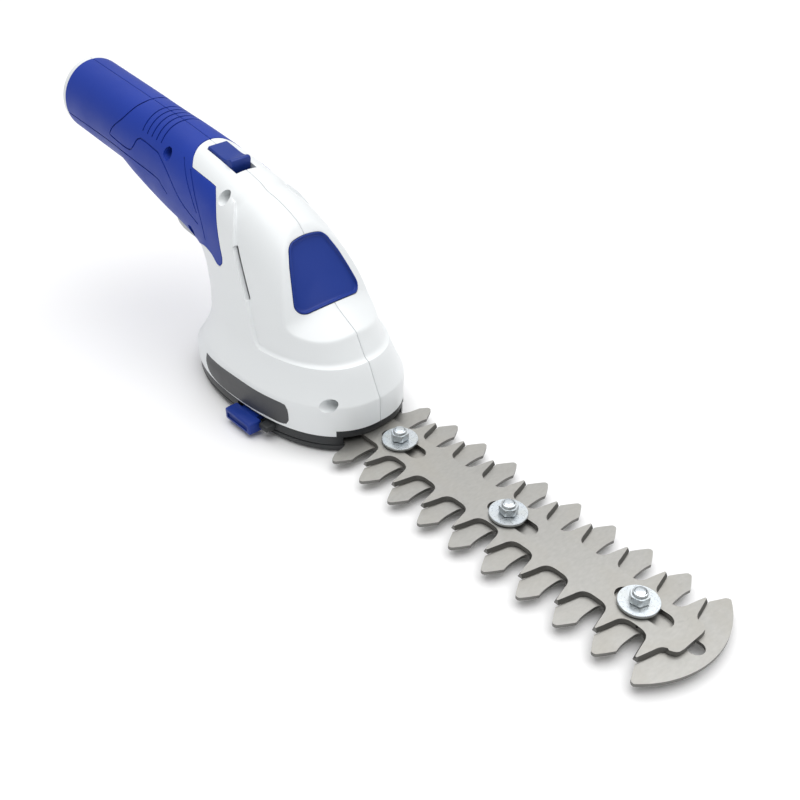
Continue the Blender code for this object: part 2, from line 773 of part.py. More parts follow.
def make_housing():
    """The two moulded halves of the housing."""
    hollow = cavity()
    pin_room = new_object("trigger_pin_room",
                          cylinder((TRIGGER_PIVOT_X, -TRIGGER_PIN_HALF - GAP, TRIGGER_PIVOT_Z),
                                   TRIGGER_PIN_R + GAP, 2 * (TRIGGER_PIN_HALF + GAP), 14, "Y"))
    cuts = [facet_cutter("facets", 0.0), bib_cutter(), grip_recess(),
            new_object("window_recess", window_solid(GAP, -WINDOW_DEPTH - GAP, 12.0)),
            vent_cutter(), lip_notch(), slider_slot(), trigger_slot(), pin_room,
            flange_prism("slider_flange_room", GAP, SLIDER_TRAVEL),
            new_object("socket_room", socket_solid(SOCKET_R + GAP, 8.0)),
            new_object("lens_room", lens_solid(LENS_R + GAP, 8.0))]
    cuts += screw_bores()
    for side, tag in ((-1, "right"), (1, "left")):
        shell = new_object(f"housing_{tag}", whole_form(0.0, count=OUTSIDE_COUNT), WHITE)
        boolean(shell, half_space(side, tag), "INTERSECT")
        cut_all(shell, hollow, *cuts)


def make_grips():
    """The soft grip, one piece on each half."""
    region = new_object("grip_region", prism(grip_region(0.0), -40.0, 40.0, "Y"))
    core = new_object("grip_core", whole_form(GRIP_THICKNESS))
    tools = [core, bpy.data.objects["trigger_slot_cutter"], rib_cutter(),
             bpy.data.objects["bore_grip"], bpy.data.objects["bore_low"]]
    for tag in ("right", "left"):
        grip = new_object(f"grip_{tag}", whole_form(0.0, count=OUTSIDE_COUNT), BLUE)
        boolean(grip, bpy.data.objects[f"half_space_{tag}"], "INTERSECT")
        boolean(grip, region, "INTERSECT")
        cut_all(grip, *tools)


def make_window():
    panel = new_object("hood_window", window_solid(0.0, -WINDOW_DEPTH, WINDOW_PROUD), BLUE)
    dish = new_object("window_dish", window_solid(-WINDOW_RIM, WINDOW_PROUD - WINDOW_DISH, 6.0))
    return boolean(panel, dish)


def motor_x():
    """The motor stands behind the crank by the gears' centre distance."""
    return -GEAR_MODULE * (GEAR_TEETH + PINION_TEETH) / 2


def rear_frame(out, up, across):
    """A point near the handle's rear end: out of the end, up its section and across."""
    station = handle_station(HANDLE_REAR_X)
    mid = ((station[0] + station[2]) / 2, (station[1] + station[3]) / 2)
    x = mid[0] - math.cos(HANDLE_RISE) * out + math.sin(HANDLE_RISE) * up
    z = mid[1] + math.sin(HANDLE_RISE) * out + math.cos(HANDLE_RISE) * up
    return (x, across, z)


def rear_cylinder(radius, low, high, up, across, sides=18):
    bm = bmesh.new()
    rings = []
    for out in (low, high):
        rings.append([rear_frame(out, up + a, across + b)
                      for a, b in circle(0.0, 0.0, radius, sides)])
    return skin(bm, rings)


def socket_solid(radius, reach):
    return rear_cylinder(radius, -END_WALL - 0.6, reach, -4.0, 0.0)


def lens_solid(radius, reach):
    return rear_cylinder(radius, -END_WALL - 0.6, reach, 9.0, -6.0, 14)


def make_rear_end():
    """Charge board inside the rear wall, with its socket and light."""
    inner = -END_WALL - GAP - 0.6
    board_back = inner - BOARD_THICKNESS
    bm = bmesh.new()
    outline = round_corners(((-11.0, -10.0), (12.5, -8.0), (12.5, 8.0), (-11.0, 10.0)), 2.0, 2)
    skin(bm, [[rear_frame(out, up, across) for up, across in outline]
              for out in (board_back - 0.6, inner - 0.6)])
    new_object("charge_board", bm, BOARD_GREEN)
    socket = new_object("charge_socket", rear_cylinder(SOCKET_R, inner - 0.3, 0.4, -4.0, 0.0), BLACK)
    boolean(socket, new_object("socket_bore", rear_cylinder(SOCKET_R - 1.2, -2.0, 4.0, -4.0, 0.0)))
    new_object("charge_lens", rear_cylinder(LENS_R, inner - 0.3, 0.5, 9.0, -6.0, 14), CLEAR)


def make_cells():
    """Two cells in line; each has a raised cap at its front end."""
    for name, start in (("battery_cell_rear", 0.0), ("battery_cell_front", CELL_LENGTH + 0.6)):
        bm = bmesh.new()
        across = Vector((math.sin(CELL_FALL), 0.0, math.cos(CELL_FALL)))
        rings = []
        profile = ((0.0, CELL_R - 0.5), (0.5, CELL_R), (CELL_LENGTH - 2.5, CELL_R),
                   (CELL_LENGTH - 1.8, CELL_R - 1.2), (CELL_LENGTH - 1.2, 3.6), (CELL_LENGTH, 3.4))
        for along, radius in profile:
            centre = Vector(cell_axis_point(start + along))
            rings.append([tuple(centre + across * a + Vector((0, b, 0)))
                          for a, b in circle(0.0, 0.0, radius, 18)])
        new_object(name, skin(bm, rings), CELL_WRAP)


def make_slider():
    """Lock-off slider: a flat deck with a thumb stop at its front end."""
    length = SLIDER_LENGTH
    outline = [(0.0, -SLIDER_THICKNESS), (length, -SLIDER_THICKNESS), (length, 1.0),
               (length - 1.2, SLIDER_LIP), (length - 2.8, SLIDER_LIP + 0.3),
               (length - 5.0, SLIDER_PROUD + 0.2), (length - 8.0, SLIDER_PROUD - 0.2),
               (1.0, SLIDER_PROUD - 0.4), (0.0, SLIDER_PROUD - 1.0)]
    bm = bmesh.new()
    half = SLIDER_HALF
    widths = ((-half, 0.6), (-half + 0.6, 0.0), (half - 0.6, 0.0), (half, 0.6))
    rings = []
    for across, drop in widths:
        rings.append([slider_point(a, across, u - drop if u > 0 else u) for a, u in outline])
    skin(bm, rings)
    slider = new_object("lock_off_slider", bm, BLUE, slider_point(0.0, 0.0, 0.0))
    return boolean(slider, flange_prism("slider_flange", 0.0, 0.0), "UNION")


def make_trigger():
    """Trigger lever, its hinge pin, its return spring and the switch above it."""
    rear, front = TRIGGER_REAR_X, TRIGGER_FRONT_X
    nose = TRIGGER_NOSE_Z
    outline = [(rear, TRIGGER_TOP_Z), (rear - 0.1, nose + 1.6), (rear + 1.8, nose),
               (rear + 6.0, nose - 1.5), (rear + 14.0, nose - 3.2), (front - 1.0, nose - 4.6),
               (front, nose - 3.4), (front, TRIGGER_PIVOT_Z + 1.2), (front - 1.4, TRIGGER_TOP_Z)]
    bm = prism(outline, -TRIGGER_HALF, TRIGGER_HALF, "Y")
    bevelled(bm, 0.6, 60.0)
    pivot = (TRIGGER_PIVOT_X, 0.0, TRIGGER_PIVOT_Z)
    lever = new_object("trigger", bm, GREY, pivot)
    half = TRIGGER_HALF + 1.0
    boolean(lever, new_object("trigger_bore", cylinder((pivot[0], -half, pivot[2]),
                                                       TRIGGER_PIN_R + RUNNING, 2 * half, 16, "Y")))
    seat = new_object("trigger_spring_seat",
                      cylinder((SPRING_X, 0.0, TRIGGER_TOP_Z - 2.4), SPRING_R + 0.8, 6.0, 16))
    boolean(lever, seat)
    new_object("trigger_pin", cylinder((pivot[0], -TRIGGER_PIN_HALF, pivot[2]), TRIGGER_PIN_R,
                                       2 * TRIGGER_PIN_HALF, 14, "Y"), STEEL)
    make_switch()
    make_spring()


def switch_bottom():
    """The switch hangs where the pressed trigger just reaches its plunger."""
    lift = (TRIGGER_PIVOT_X - SWITCH_X) * math.sin(TRIGGER_SWING)
    return TRIGGER_TOP_Z + lift + GAP + PLUNGER_REACH


def make_switch():
    low = switch_bottom()
    bm = box((SWITCH_X - SWITCH_LENGTH / 2, -SWITCH_HALF, low),
             (SWITCH_X + SWITCH_LENGTH / 2, SWITCH_HALF, low + SWITCH_HEIGHT))
    body = new_object("trigger_switch", bevelled(bm, 0.4), BLACK)
    plunger = new_object("switch_plunger", cylinder((SWITCH_X, 0.0, low - PLUNGER_REACH),
                                                    PLUNGER_R, PLUNGER_REACH + 1.0, 14))
    return boolean(body, plunger, "UNION")


def spring_ends():
    low = TRIGGER_TOP_Z - 2.4 + GAP
    return low, SHELF_BOTTOM_Z - GAP


def make_spring():
    """A coil spring, swept as one tube of five turns."""
    low, high = spring_ends()
    steps = 8 * SPRING_TURNS
    bm = bmesh.new()
    rings = []
    for k in range(steps + 1):
        turn = math.tau * SPRING_TURNS * k / steps
        rise = low + SPRING_WIRE_R + (high - low - 2 * SPRING_WIRE_R) * k / steps
        out = Vector((math.cos(turn), math.sin(turn), 0.0))
        centre = Vector((SPRING_X, 0.0, rise)) + out * SPRING_R
        rings.append([tuple(centre + out * a + Vector((0.0, 0.0, b)))
                      for a, b in circle(0.0, 0.0, SPRING_WIRE_R, 5)])
    return new_object("trigger_spring", skin(bm, rings), STEEL, smooth=80.0)


def comb_tooth(centre):
    """Half outline of one comb tooth, from its rear root to its front root."""
    flank = [(COMB_NECK_HALF + 1.3, COMB_ROOT_Y + 2.0), (COMB_NECK_HALF + 0.2, COMB_ROOT_Y + 4.2),
             (COMB_NECK_HALF, COMB_NECK_Y), (COMB_SHOULDER_HALF, COMB_SHOULDER_Y),
             (COMB_TIP_HALF + 0.8, COMB_TIP_Y - 0.9), (COMB_TIP_HALF * 0.4, COMB_TIP_Y)]
    return [(centre - x, y) for x, y in flank] + [(centre + x, y) for x, y in reversed(flank)]


def comb_centre(k):
    return FIRST_SHOULDER_X + PITCH * k - COMB_TOOTH_LAG


def comb_half_outline():
    """One side of the comb from its tail to the tip of its nose."""
    first = comb_centre(1)
    points = [(COMB_TAIL_X, COMB_TAIL_HALF - 3.0), (COMB_TAIL_X + 3.0, COMB_TAIL_HALF),
              (first - 5.5, COMB_TAIL_HALF), (first - 4.0, COMB_SHOULDER_Y - 2.0)]
    for k in range(1, COMB_TEETH + 1):
        tooth = comb_tooth(comb_centre(k))
        if k == 1:
            tooth = tooth[4:]
        middle = comb_centre(k) + PITCH / 2
        points += [*tooth, (middle - 2.4, COMB_ROOT_Y), (middle + 2.4, COMB_ROOT_Y)]
    wing = comb_centre(COMB_TEETH + 1)
    rear = comb_tooth(wing)[:4]
    return [*points, *rear, (wing - COMB_TIP_HALF, COMB_TIP_Y), *nose_arc(wing)]


def nose_arc(wing):
    """The crescent front edge, from its wing tip to the middle line."""
    reach = NOSE_X - wing
    radius = (reach ** 2 + COMB_TIP_Y ** 2) / (2 * reach)
    start = math.asin(COMB_TIP_Y / radius)
    steps = 8
    return [(NOSE_X - radius + radius * math.cos(start * (1 - k / steps)),
             radius * math.sin(start * (1 - k / steps))) for k in range(steps + 1)]


def mirrored(half):
    """Close a half outline over the X axis."""
    other = [(x, -y) for x, y in reversed(half) if abs(y) > 0.01]
    return half + other


def slot_outline(rear, front, half, steps=6):
    """A long hole with round ends along X."""
    outline = []
    for k in range(steps + 1):
        angle = -math.pi / 2 + math.pi * k / steps
        outline.append((front - half + half * math.cos(angle), half * math.sin(angle)))
    for k in range(steps + 1):
        angle = math.pi / 2 + math.pi * k / steps
        outline.append((rear + half + half * math.cos(angle), half * math.sin(angle)))
    return outline


def bolt_xs():
    return [BOLT_FIRST_X + k * BOLT_SPACING for k in range(BOLT_COUNT)]


def make_comb():
    """Lower blade: pointed teeth on both sides and a crescent nose."""
    top = comb_top()
    bm = prism(mirrored(comb_half_outline()), COMB_BOTTOM_Z, top)
    comb = new_object("comb_blade", bm, BLADE)
    low, high = COMB_BOTTOM_Z - 2.0, top + 2.0
    holes = bmesh.new()
    for x in bolt_xs():
        add_prism(holes, circle(x, 0.0, BOLT_R + GAP, 12), low, high)
    for x, y in COMB_RIVETS:
        add_prism(holes, circle(x, y, RIVET_R + GAP, 8), low, high)
    add_prism(holes, slot_outline(NOSE_HOLE_REAR, NOSE_HOLE_FRONT, NOSE_HOLE_HALF), low, high)
    return boolean(comb, new_object("comb_holes", holes))


def add_prism(bm, outline, low, high):
    skin(bm, [[(x, y, low) for x, y in outline], [(x, y, high) for x, y in outline]])


def comb_top():
    return COMB_BOTTOM_Z + COMB_THICKNESS


def cutter_bottom():
    return comb_top() + GAP


def cutter_top():
    return cutter_bottom() + CUTTER_THICKNESS


def cutter_tooth(centre, bevel):
    """Half outline of one cutter tooth with its flanks drawn in by a bevel."""
    root, fade = CUTTER_TOOTH_ROOT_HALF, bevel * 0.45
    flank = [(root + 2.2 - fade * 0.3, CUTTER_ROOT_Y + 0.5), (root + 0.5 - fade, CUTTER_ROOT_Y + 2.0),
             (root - bevel, CUTTER_ROOT_Y + 4.0), (CUTTER_TOOTH_TIP_HALF - bevel, CUTTER_TIP_Y)]
    return [(centre - x, y) for x, y in flank] + [(centre + x, y) for x, y in reversed(flank)]


def cutter_half_outline(bevel):
    tail = CUTTER_TAIL_X
    points = [(tail, CUTTER_ROOT_Y - 2.5), (tail + 2.5, CUTTER_ROOT_Y)]
    for k in range(2, CUTTER_TEETH + 2):
        centre = FIRST_SHOULDER_X + PITCH * k - CUTTER_TOOTH_LAG
        points += [(centre - PITCH / 2, CUTTER_ROOT_Y), *cutter_tooth(centre, bevel)]
    points += [(CUTTER_NOSE_X - 3.0, CUTTER_NOSE_HALF), (CUTTER_NOSE_X - 0.9, CUTTER_NOSE_HALF - 0.9),
               (CUTTER_NOSE_X, CUTTER_NOSE_HALF - 3.0)]
    return points


def make_cutter():
    """Upper blade: bevelled teeth, three long slots and a tail under the drive yoke."""
    low, high = cutter_bottom(), cutter_top()
    bm = bmesh.new()
    rings = [[(x, y, z) for x, y in mirrored(cutter_half_outline(bevel))]
             for z, bevel in ((low, 0.0), (low + 0.35, 0.0), (high, CUTTER_BEVEL))]
    cutter = new_object("cutter_blade", skin(bm, rings), BLADE)
    holes = bmesh.new()
    for k in range(BOLT_COUNT):
        front = SLOT_FIRST_FRONT + k * BOLT_SPACING
        add_prism(holes, slot_outline(front - SLOT_LENGTH, front, SLOT_HALF), low - 2, high + 2)
    for x in yoke_rivet_xs():
        add_prism(holes, circle(x, 0.0, RIVET_R + GAP, 8), low - 2, high + 2)
    return boolean(cutter, new_object("cutter_holes", holes))


def yoke_rivet_xs():
    return [REST_AHEAD - YOKE_RIVET_X, REST_AHEAD + YOKE_RIVET_X]


def make_bolt_stacks():
    """Bolt, sleeve, washer and collar nut at three places along the blades."""
    names = ("rear", "middle", "front")
    sleeve_top = cutter_top() + 0.2
    washer_low = sleeve_top + GAP
    washer_top = washer_low + WASHER_THICKNESS
    nut_low = washer_top + GAP
    for name, x in zip(names, bolt_xs()):
        head_top = COMB_BOTTOM_Z - GAP
        nut_top = nut_low + NUT_HEIGHT + NUT_COLLAR_HEIGHT
        steps = ((head_top - BOLT_HEAD_HEIGHT, BOLT_HEAD_R - 0.5),
                 (head_top - BOLT_HEAD_HEIGHT + 0.6, BOLT_HEAD_R), (head_top, BOLT_HEAD_R),
                 (head_top, BOLT_R), (nut_top + 0.3, BOLT_R), (nut_top + 0.7, BOLT_R - 0.4))
        new_object(f"blade_bolt_{name}", turned((x, 0.0, 0.0), steps, 12), ZINC)
        sleeve_low = cutter_bottom()
        new_object(f"blade_sleeve_{name}",
                   tube((x, 0.0, sleeve_low), BOLT_R + GAP, SLEEVE_R, sleeve_top - sleeve_low, 16), STEEL)
        new_object(f"blade_washer_{name}",
                   tube((x, 0.0, washer_low), BOLT_R + GAP, WASHER_R, WASHER_THICKNESS, 22), ZINC)
        make_nut(f"blade_nut_{name}", x, nut_low)


def make_nut(name, x, low):
    """A hexagon nut with a round locking collar on top."""
    corner_r = NUT_FLATS / math.sqrt(3)
    bm = prism(circle(x, 0.0, corner_r, 6, 0.35), low, low + NUT_HEIGHT)
    nut = new_object(name, bevelled(bm, 0.35, 80.0), ZINC)
    collar = turned((x, 0.0, low + NUT_HEIGHT - 0.5),
                    ((0.0, NUT_COLLAR_R), (NUT_COLLAR_HEIGHT, NUT_COLLAR_R - 0.2),
                     (NUT_COLLAR_HEIGHT + 0.5, NUT_COLLAR_R - 0.7)), 12)
    boolean(nut, new_object(f"{name}_collar", collar), "UNION")
    bore = cylinder((x, 0.0, low - 1.0), BOLT_R + GAP / 2, 10.0, 12)
    return boolean(nut, new_object(f"{name}_bore", bore))


def make_yoke():
    """Nylon block on the cutter's tail with the slot that the crank's bush runs in."""
    low = cutter_top() + GAP
    bm = rounded_box((REST_AHEAD - YOKE_HALF_X, -YOKE_HALF_Y, low),
                     (REST_AHEAD + YOKE_HALF_X, YOKE_HALF_Y, low + YOKE_HEIGHT), 2.5)
    yoke = new_object("drive_yoke", bm, NYLON)
    slot = rounded_box((REST_AHEAD - YOKE_SLOT_HALF_X, -YOKE_SLOT_HALF_Y, low - 1),
                       (REST_AHEAD + YOKE_SLOT_HALF_X, YOKE_SLOT_HALF_Y, low + YOKE_HEIGHT + 1), 4.0)
    boolean(yoke, new_object("yoke_slot", slot))
    holes = bmesh.new()
    for x in yoke_rivet_xs():
        add_prism(holes, circle(x, 0.0, RIVET_R + GAP, 8), low - 1, low + YOKE_HEIGHT + 1)
    boolean(yoke, new_object("yoke_rivet_holes", holes))
    for name, x in zip(("rear", "front"), yoke_rivet_xs()):
        make_rivet(f"yoke_rivet_{name}", x, 0.0, cutter_bottom(), low + YOKE_HEIGHT + GAP, 0.7)
    return yoke


def make_rivet(name, x, y, bottom, head_low, head_height=RIVET_HEAD_HEIGHT):
    steps = ((bottom, RIVET_R), (head_low, RIVET_R), (head_low, RIVET_HEAD_R),
             (head_low + head_height * 0.5, RIVET_HEAD_R - 0.2),
             (head_low + head_height, RIVET_HEAD_R - 1.1))
    return new_object(name, turned((x, y, 0.0), steps, 8), STEEL)


def crank_pin_place():
    angle = math.pi / 2 - CRANK_REST
    return (THROW * math.cos(angle), THROW * math.sin(angle))


def gear_outline(teeth, root_r, tip_r, root_half, tip_half, turn):
    """Straight-flanked gear teeth; the halves are widths on the root and tip circles."""
    outline = []
    step = math.tau / teeth
    for k in range(teeth):
        middle = turn + k * step
        for radius, half, sign in ((root_r, root_half, -1), (tip_r, tip_half, -1),
                                   (tip_r, tip_half, 1), (root_r, root_half, 1)):
            angle = middle + sign * half / radius
            outline.append((radius * math.cos(angle), radius * math.sin(angle)))
    return outline


def make_crank_gear():
    """Large gear with a hub above and an eccentric pin below."""
    pitch_r = GEAR_MODULE * GEAR_TEETH / 2
    low, high = GEAR_BOTTOM_Z, GEAR_BOTTOM_Z + GEAR_WIDTH
    outline = gear_outline(GEAR_TEETH, pitch_r - 1.0, pitch_r + 0.65, 0.72, 0.26, math.pi)
    gear = new_object("crank_gear", prism(outline, low, high), NYLON)
    hub = cylinder((0.0, 0.0, high - 1.0), GEAR_HUB_R, PLATE_BOTTOM_Z - GAP - high + 1.0, 20)
    boolean(gear, new_object("crank_gear_hub", hub), "UNION")
    px, py = crank_pin_place()
    pin_low = cutter_top() + 0.9
    pin = cylinder((px, py, pin_low), CRANK_PIN_R, low - pin_low + 1.0, 16)
    boolean(gear, new_object("crank_gear_pin", pin), "UNION")
    web = tube((0.0, 0.0, high - 1.6), GEAR_HUB_R + 1.5, pitch_r - 3.0, 4.0, 28)
    boolean(gear, new_object("crank_gear_web", web))
    bore = cylinder((0.0, 0.0, low + 1.2), AXLE_R + RUNNING, 20.0, 18)
    boolean(gear, new_object("crank_gear_bore", bore))
    bush_low = pin_low + 0.2
    bush_high = cutter_top() + GAP + YOKE_HEIGHT + 0.9
    new_object("crank_bush", tube((px, py, bush_low), CRANK_PIN_R + RUNNING, BUSH_R,
                                  bush_high - bush_low, 20), BRASS)


def make_pinion():
    """Motor pinion and the motor shaft it is pressed on."""
    pitch_r = GEAR_MODULE * PINION_TEETH / 2
    x = motor_x()
    low, high = GEAR_BOTTOM_Z, GEAR_BOTTOM_Z + GEAR_WIDTH + 1.0
    half_tooth = math.pi / PINION_TEETH
    outline = gear_outline(PINION_TEETH, pitch_r - 1.05, pitch_r + 0.65, 0.72, 0.26, half_tooth)
    bm = prism([(x + a, b) for a, b in outline], low, high)
    pinion = new_object("motor_pinion", bm, STEEL, (x, 0.0, low))
    shaft = cylinder((x, 0.0, low - 0.6), MOTOR_SHAFT_R, 24.0, 14)
    return boolean(pinion, new_object("motor_shaft", shaft), "UNION")


def make_motor():
    """Motor can with two flats, a front bearing boss and a rear brush cap."""
    x = motor_x()
    low = plate_top() + GAP
    high = low + MOTOR_LENGTH
    steps = ((0.0, MOTOR_R - 0.6), (0.6, MOTOR_R), (MOTOR_LENGTH - 0.8, MOTOR_R),
             (MOTOR_LENGTH, MOTOR_R - 0.8))
    motor = new_object("motor", turned((x, 0.0, low), steps, 24), DARK_STEEL)
    for side, tag in ((-1, "right"), (1, "left")):
        flat = box((x - 20.0, side * MOTOR_FLAT_HALF, low - 1.0),
                   (x + 20.0, side * 20.0, high - 6.0))
        boolean(motor, new_object(f"motor_flat_{tag}", flat))
    nose = cylinder((x, 0.0, PLATE_BOTTOM_Z + GAP), MOTOR_BOSS_R, low - PLATE_BOTTOM_Z + 2.0, 16)
    boolean(motor, new_object("motor_nose", nose), "UNION")
    cap = turned((x, 0.0, high - 2.0), ((0.0, 9.0), (4.4, 9.0), (5.0, 8.4)), 16)
    boolean(motor, new_object("motor_cap", cap), "UNION")
    bore = cylinder((x, 0.0, PLATE_BOTTOM_Z - 2.0), MOTOR_SHAFT_R + RUNNING, 20.0, 14)
    boolean(motor, new_object("motor_bore", bore))
    for side, tag in ((-1, "right"), (1, "left")):
        hole = cylinder((x, side * MOTOR_SCREW_Y, low - 2.0), PLATE_SCREW_R + GAP, 6.5, 8)
        boolean(motor, new_object(f"motor_screw_hole_{tag}", hole))
        make_screw(f"motor_screw_{tag}", x, side * MOTOR_SCREW_Y, PLATE_BOTTOM_Z - GAP, 1.4, -1,
                   low - PLATE_BOTTOM_Z + 4.0)
    return motor


def make_screw(name, x, y, seat, head_height, up, reach):
    """A pan head screw along Z; up is 1 where the head is on top and -1 where it is below."""
    steps = [(-up * reach, PLATE_SCREW_R), (0.0, PLATE_SCREW_R), (0.0, PLATE_SCREW_HEAD_R),
             (up * head_height * 0.6, PLATE_SCREW_HEAD_R),
             (up * head_height, PLATE_SCREW_HEAD_R - 0.7)]
    return new_object(name, turned((x, y, seat), steps, 10), ZINC)


def plate_top():
    return PLATE_BOTTOM_Z + PLATE_THICKNESS


def make_motor_plate():
    """Steel plate on four posts that carries the motor and the gear's axle."""
    xs = [place[0] for place in POST_PLACES]
    front, rear = max(xs) + POST_R + 1.0, min(xs) - POST_R - 1.0
    front_half = max(abs(y) for x, y in POST_PLACES if x > 0) + POST_R + 0.6
    rear_half = max(abs(y) for x, y in POST_PLACES if x < 0) + POST_R + 0.6
    corners = ((rear, -rear_half), (front, -front_half), (front, front_half), (rear, rear_half))
    plate = new_object("motor_plate", prism(round_corners(corners, 4.0, 4), PLATE_BOTTOM_Z,
                                            plate_top()), ZINC)
    holes = bmesh.new()
    low, high = PLATE_BOTTOM_Z - 1.0, plate_top() + 1.0
    add_prism(holes, circle(0.0, 0.0, AXLE_R + GAP, 14), low, high)
    add_prism(holes, circle(motor_x(), 0.0, MOTOR_BOSS_R + GAP, 16), low, high)
    for side in (-1, 1):
        add_prism(holes, circle(motor_x(), side * MOTOR_SCREW_Y, PLATE_SCREW_R + GAP, 8), low, high)
    for x, y in POST_PLACES:
        add_prism(holes, circle(x, y, PLATE_SCREW_R + GAP, 8), low, high)
    boolean(plate, new_object("motor_plate_holes", holes))
    names = ("front_left", "front_right", "rear_left", "rear_right")
    for name, (x, y) in zip(names, POST_PLACES):
        make_screw(f"plate_screw_{name}", x, y, plate_top() + GAP, 1.8, 1, 7.0)
    steps = ((GEAR_BOTTOM_Z + 1.5, AXLE_R), (plate_top() + GAP, AXLE_R),
             (plate_top() + GAP, AXLE_HEAD_R), (plate_top() + GAP + 1.6, AXLE_HEAD_R))
    new_object("gear_axle", turned((0.0, 0.0, 0.0), steps, 18), STEEL)


def base_outline(inset, count=48):
    station = base_station(0.0, inset)
    points = []
    for k in range(count):
        x, y, _ = section_point(station, math.tau * k / count, 1, 0.0)
        points.append((x, y))
    return points


def latch_box(side, grow, low_z, high_z, inner_y, outer_y):
    """A block across the latch's length, on one side."""
    y0, y1 = sorted((side * inner_y, side * outer_y))
    return box((LATCH_REAR_X - grow, y0, low_z), (LATCH_REAR_X + LATCH_LENGTH + grow, y1, high_z))


def latch_neck_y():
    """The latch's button starts just outside the base."""
    return BASE_WIDTH / 2 + LATCH_STANDOFF


def latch_stem_y():
    return BASE_WIDTH / 2 - LATCH_STEM_LENGTH


def make_base():
    """Black base: a rim under the housing, a deck over the yoke, posts and the front lip."""
    rim = prism(base_outline(BASE_STEP), BASE_BOTTOM_Z, SHELL_BOTTOM_Z - GAP)
    base = new_object("base_plate", rim, BLACK)
    for tool in (base_plug(), base_lip(), *latch_guards(), base_mountings()):
        boolean(base, tool, "UNION")
    for k, (x, y) in enumerate(POST_PLACES):
        hole = cylinder((x, y, PLATE_BOTTOM_Z - 6.5), PLATE_SCREW_R + GAP, 9.0, 8)
        boolean(base, new_object(f"plate_post_hole_{k}", hole))
    half = CHANNEL_HALF
    channel = box((CHANNEL_REAR_X, -half, 0.0), (BASE_FRONT_X + 10.0, half, SLOT_TOP_Z))
    room = box((CHANNEL_REAR_X, -half, 2.0), (YOKE_ROOM_FRONT, half, YOKE_ROOM_TOP))
    cut_all(base, new_object("blade_channel", channel), new_object("yoke_room", room),
            new_object("crank_hole", cylinder((0.0, 0.0, 10.0), CRANK_HOLE_R, 12.0, 20)))
    pocket_in = latch_stem_y() - LATCH_TRAVEL - POCKET_SPARE
    for side, tag in ((-1, "right"), (1, "left")):
        pocket = latch_box(side, GAP, 0.0, LATCH_TOP_Z + GAP, pocket_in, BASE_WIDTH)
        boolean(base, new_object(f"latch_pocket_{tag}", pocket))
    x, z = SCREW_PLACES["front"]
    notch = cylinder((x, -BASE_WIDTH / 2, z), BOSS_R + GAP + 0.2, BASE_WIDTH, 16, "Y")
    return boolean(base, new_object("front_boss_notch", notch))


def base_plug():
    """Deck that fills the housing's foot, shaped from the housing's own sections."""
    foot = base_station(SHELL_BOTTOM_Z - 6.0)
    plug = new_object("base_plug", whole_form(WALL + GAP, [*form_stations()[-5:], foot]))
    limit = box((BASE_FRONT_X - BASE_LENGTH - 10.0, -BASE_WIDTH, SHELL_BOTTOM_Z - 2.0),
                (BASE_FRONT_X + 10.0, BASE_WIDTH, DECK_TOP_Z))
    return boolean(plug, new_object("base_plug_limit", limit), "INTERSECT")


def base_lip():
    """Front lip that stands up into the housing over the blades."""
    outline = base_outline(BASE_STEP + LIP_STEP)
    lip = new_object("base_lip", prism(outline, BASE_BOTTOM_Z + 1.0, LIP_TOP_Z))
    limit = box((BASE_FRONT_X - LIP_LENGTH, -LIP_HALF, 0.0), (BASE_FRONT_X + 10.0, LIP_HALF, 20.0))
    return boolean(lip, new_object("base_lip_limit", limit), "INTERSECT")


def base_mountings():
    """Ring under the crank gear and the four posts of the motor plate."""
    low = DECK_TOP_Z - 1.0
    ring = tube((0.0, 0.0, low), CRANK_HOLE_R + 1.0, CRANK_HOLE_R + 3.4,
                GEAR_BOTTOM_Z - GAP - low, 20)
    for x, y in POST_PLACES:
        add_prism(ring, circle(x, y, POST_R, 12), low, PLATE_BOTTOM_Z - GAP)
    return new_object("base_mountings", ring)


def latch_guards():
    """Small stop in front of each latch, on the base's side."""
    x0 = LATCH_REAR_X + LATCH_LENGTH + 2 * GAP
    made = []
    for side, tag in ((-1, "right"), (1, "left")):
        y0, y1 = sorted((side * (BASE_WIDTH / 2 - 4.0), side * (BASE_WIDTH / 2 + GUARD_REACH)))
        guard = rounded_box((x0, y0, GUARD_BOTTOM_Z), (x0 + GUARD_LENGTH, y1, LATCH_TOP_Z), 1.5, 2)
        made.append(new_object(f"latch_guard_{tag}", guard))
    return made


def make_carrier():
    """Blade carrier: a flat sole with a chamfered edge, slotted for the two latches."""
    bm = bmesh.new()
    rings = []
    for z, inset in ((0.0, BASE_STEP + CARRIER_CHAMFER + 0.6), (CARRIER_CHAMFER, BASE_STEP + 0.6),
                     (CARRIER_TOP_Z, BASE_STEP)):
        rings.append([(x, y, z) for x, y in base_outline(inset)])
    carrier = new_object("blade_carrier", skin(bm, rings), BLACK)
    for side, tag in ((-1, "right"), (1, "left")):
        notch = latch_box(side, GAP, -1.0, 6.0, latch_neck_y() - LATCH_TRAVEL - 2.6, BASE_WIDTH)
        boolean(carrier, new_object(f"carrier_notch_{tag}", notch))
    holes = bmesh.new()
    for x, y in COMB_RIVETS:
        add_prism(holes, circle(x, y, RIVET_R + GAP, 8), 1.2, 6.0)
    boolean(carrier, new_object("carrier_rivet_holes", holes))
    for k, (x, y) in enumerate(COMB_RIVETS):
        names = ("front_left", "front_right", "rear_left", "rear_right")
        make_rivet(f"comb_rivet_{names[k]}", x, y, 1.5, comb_top() + GAP)
    return carrier


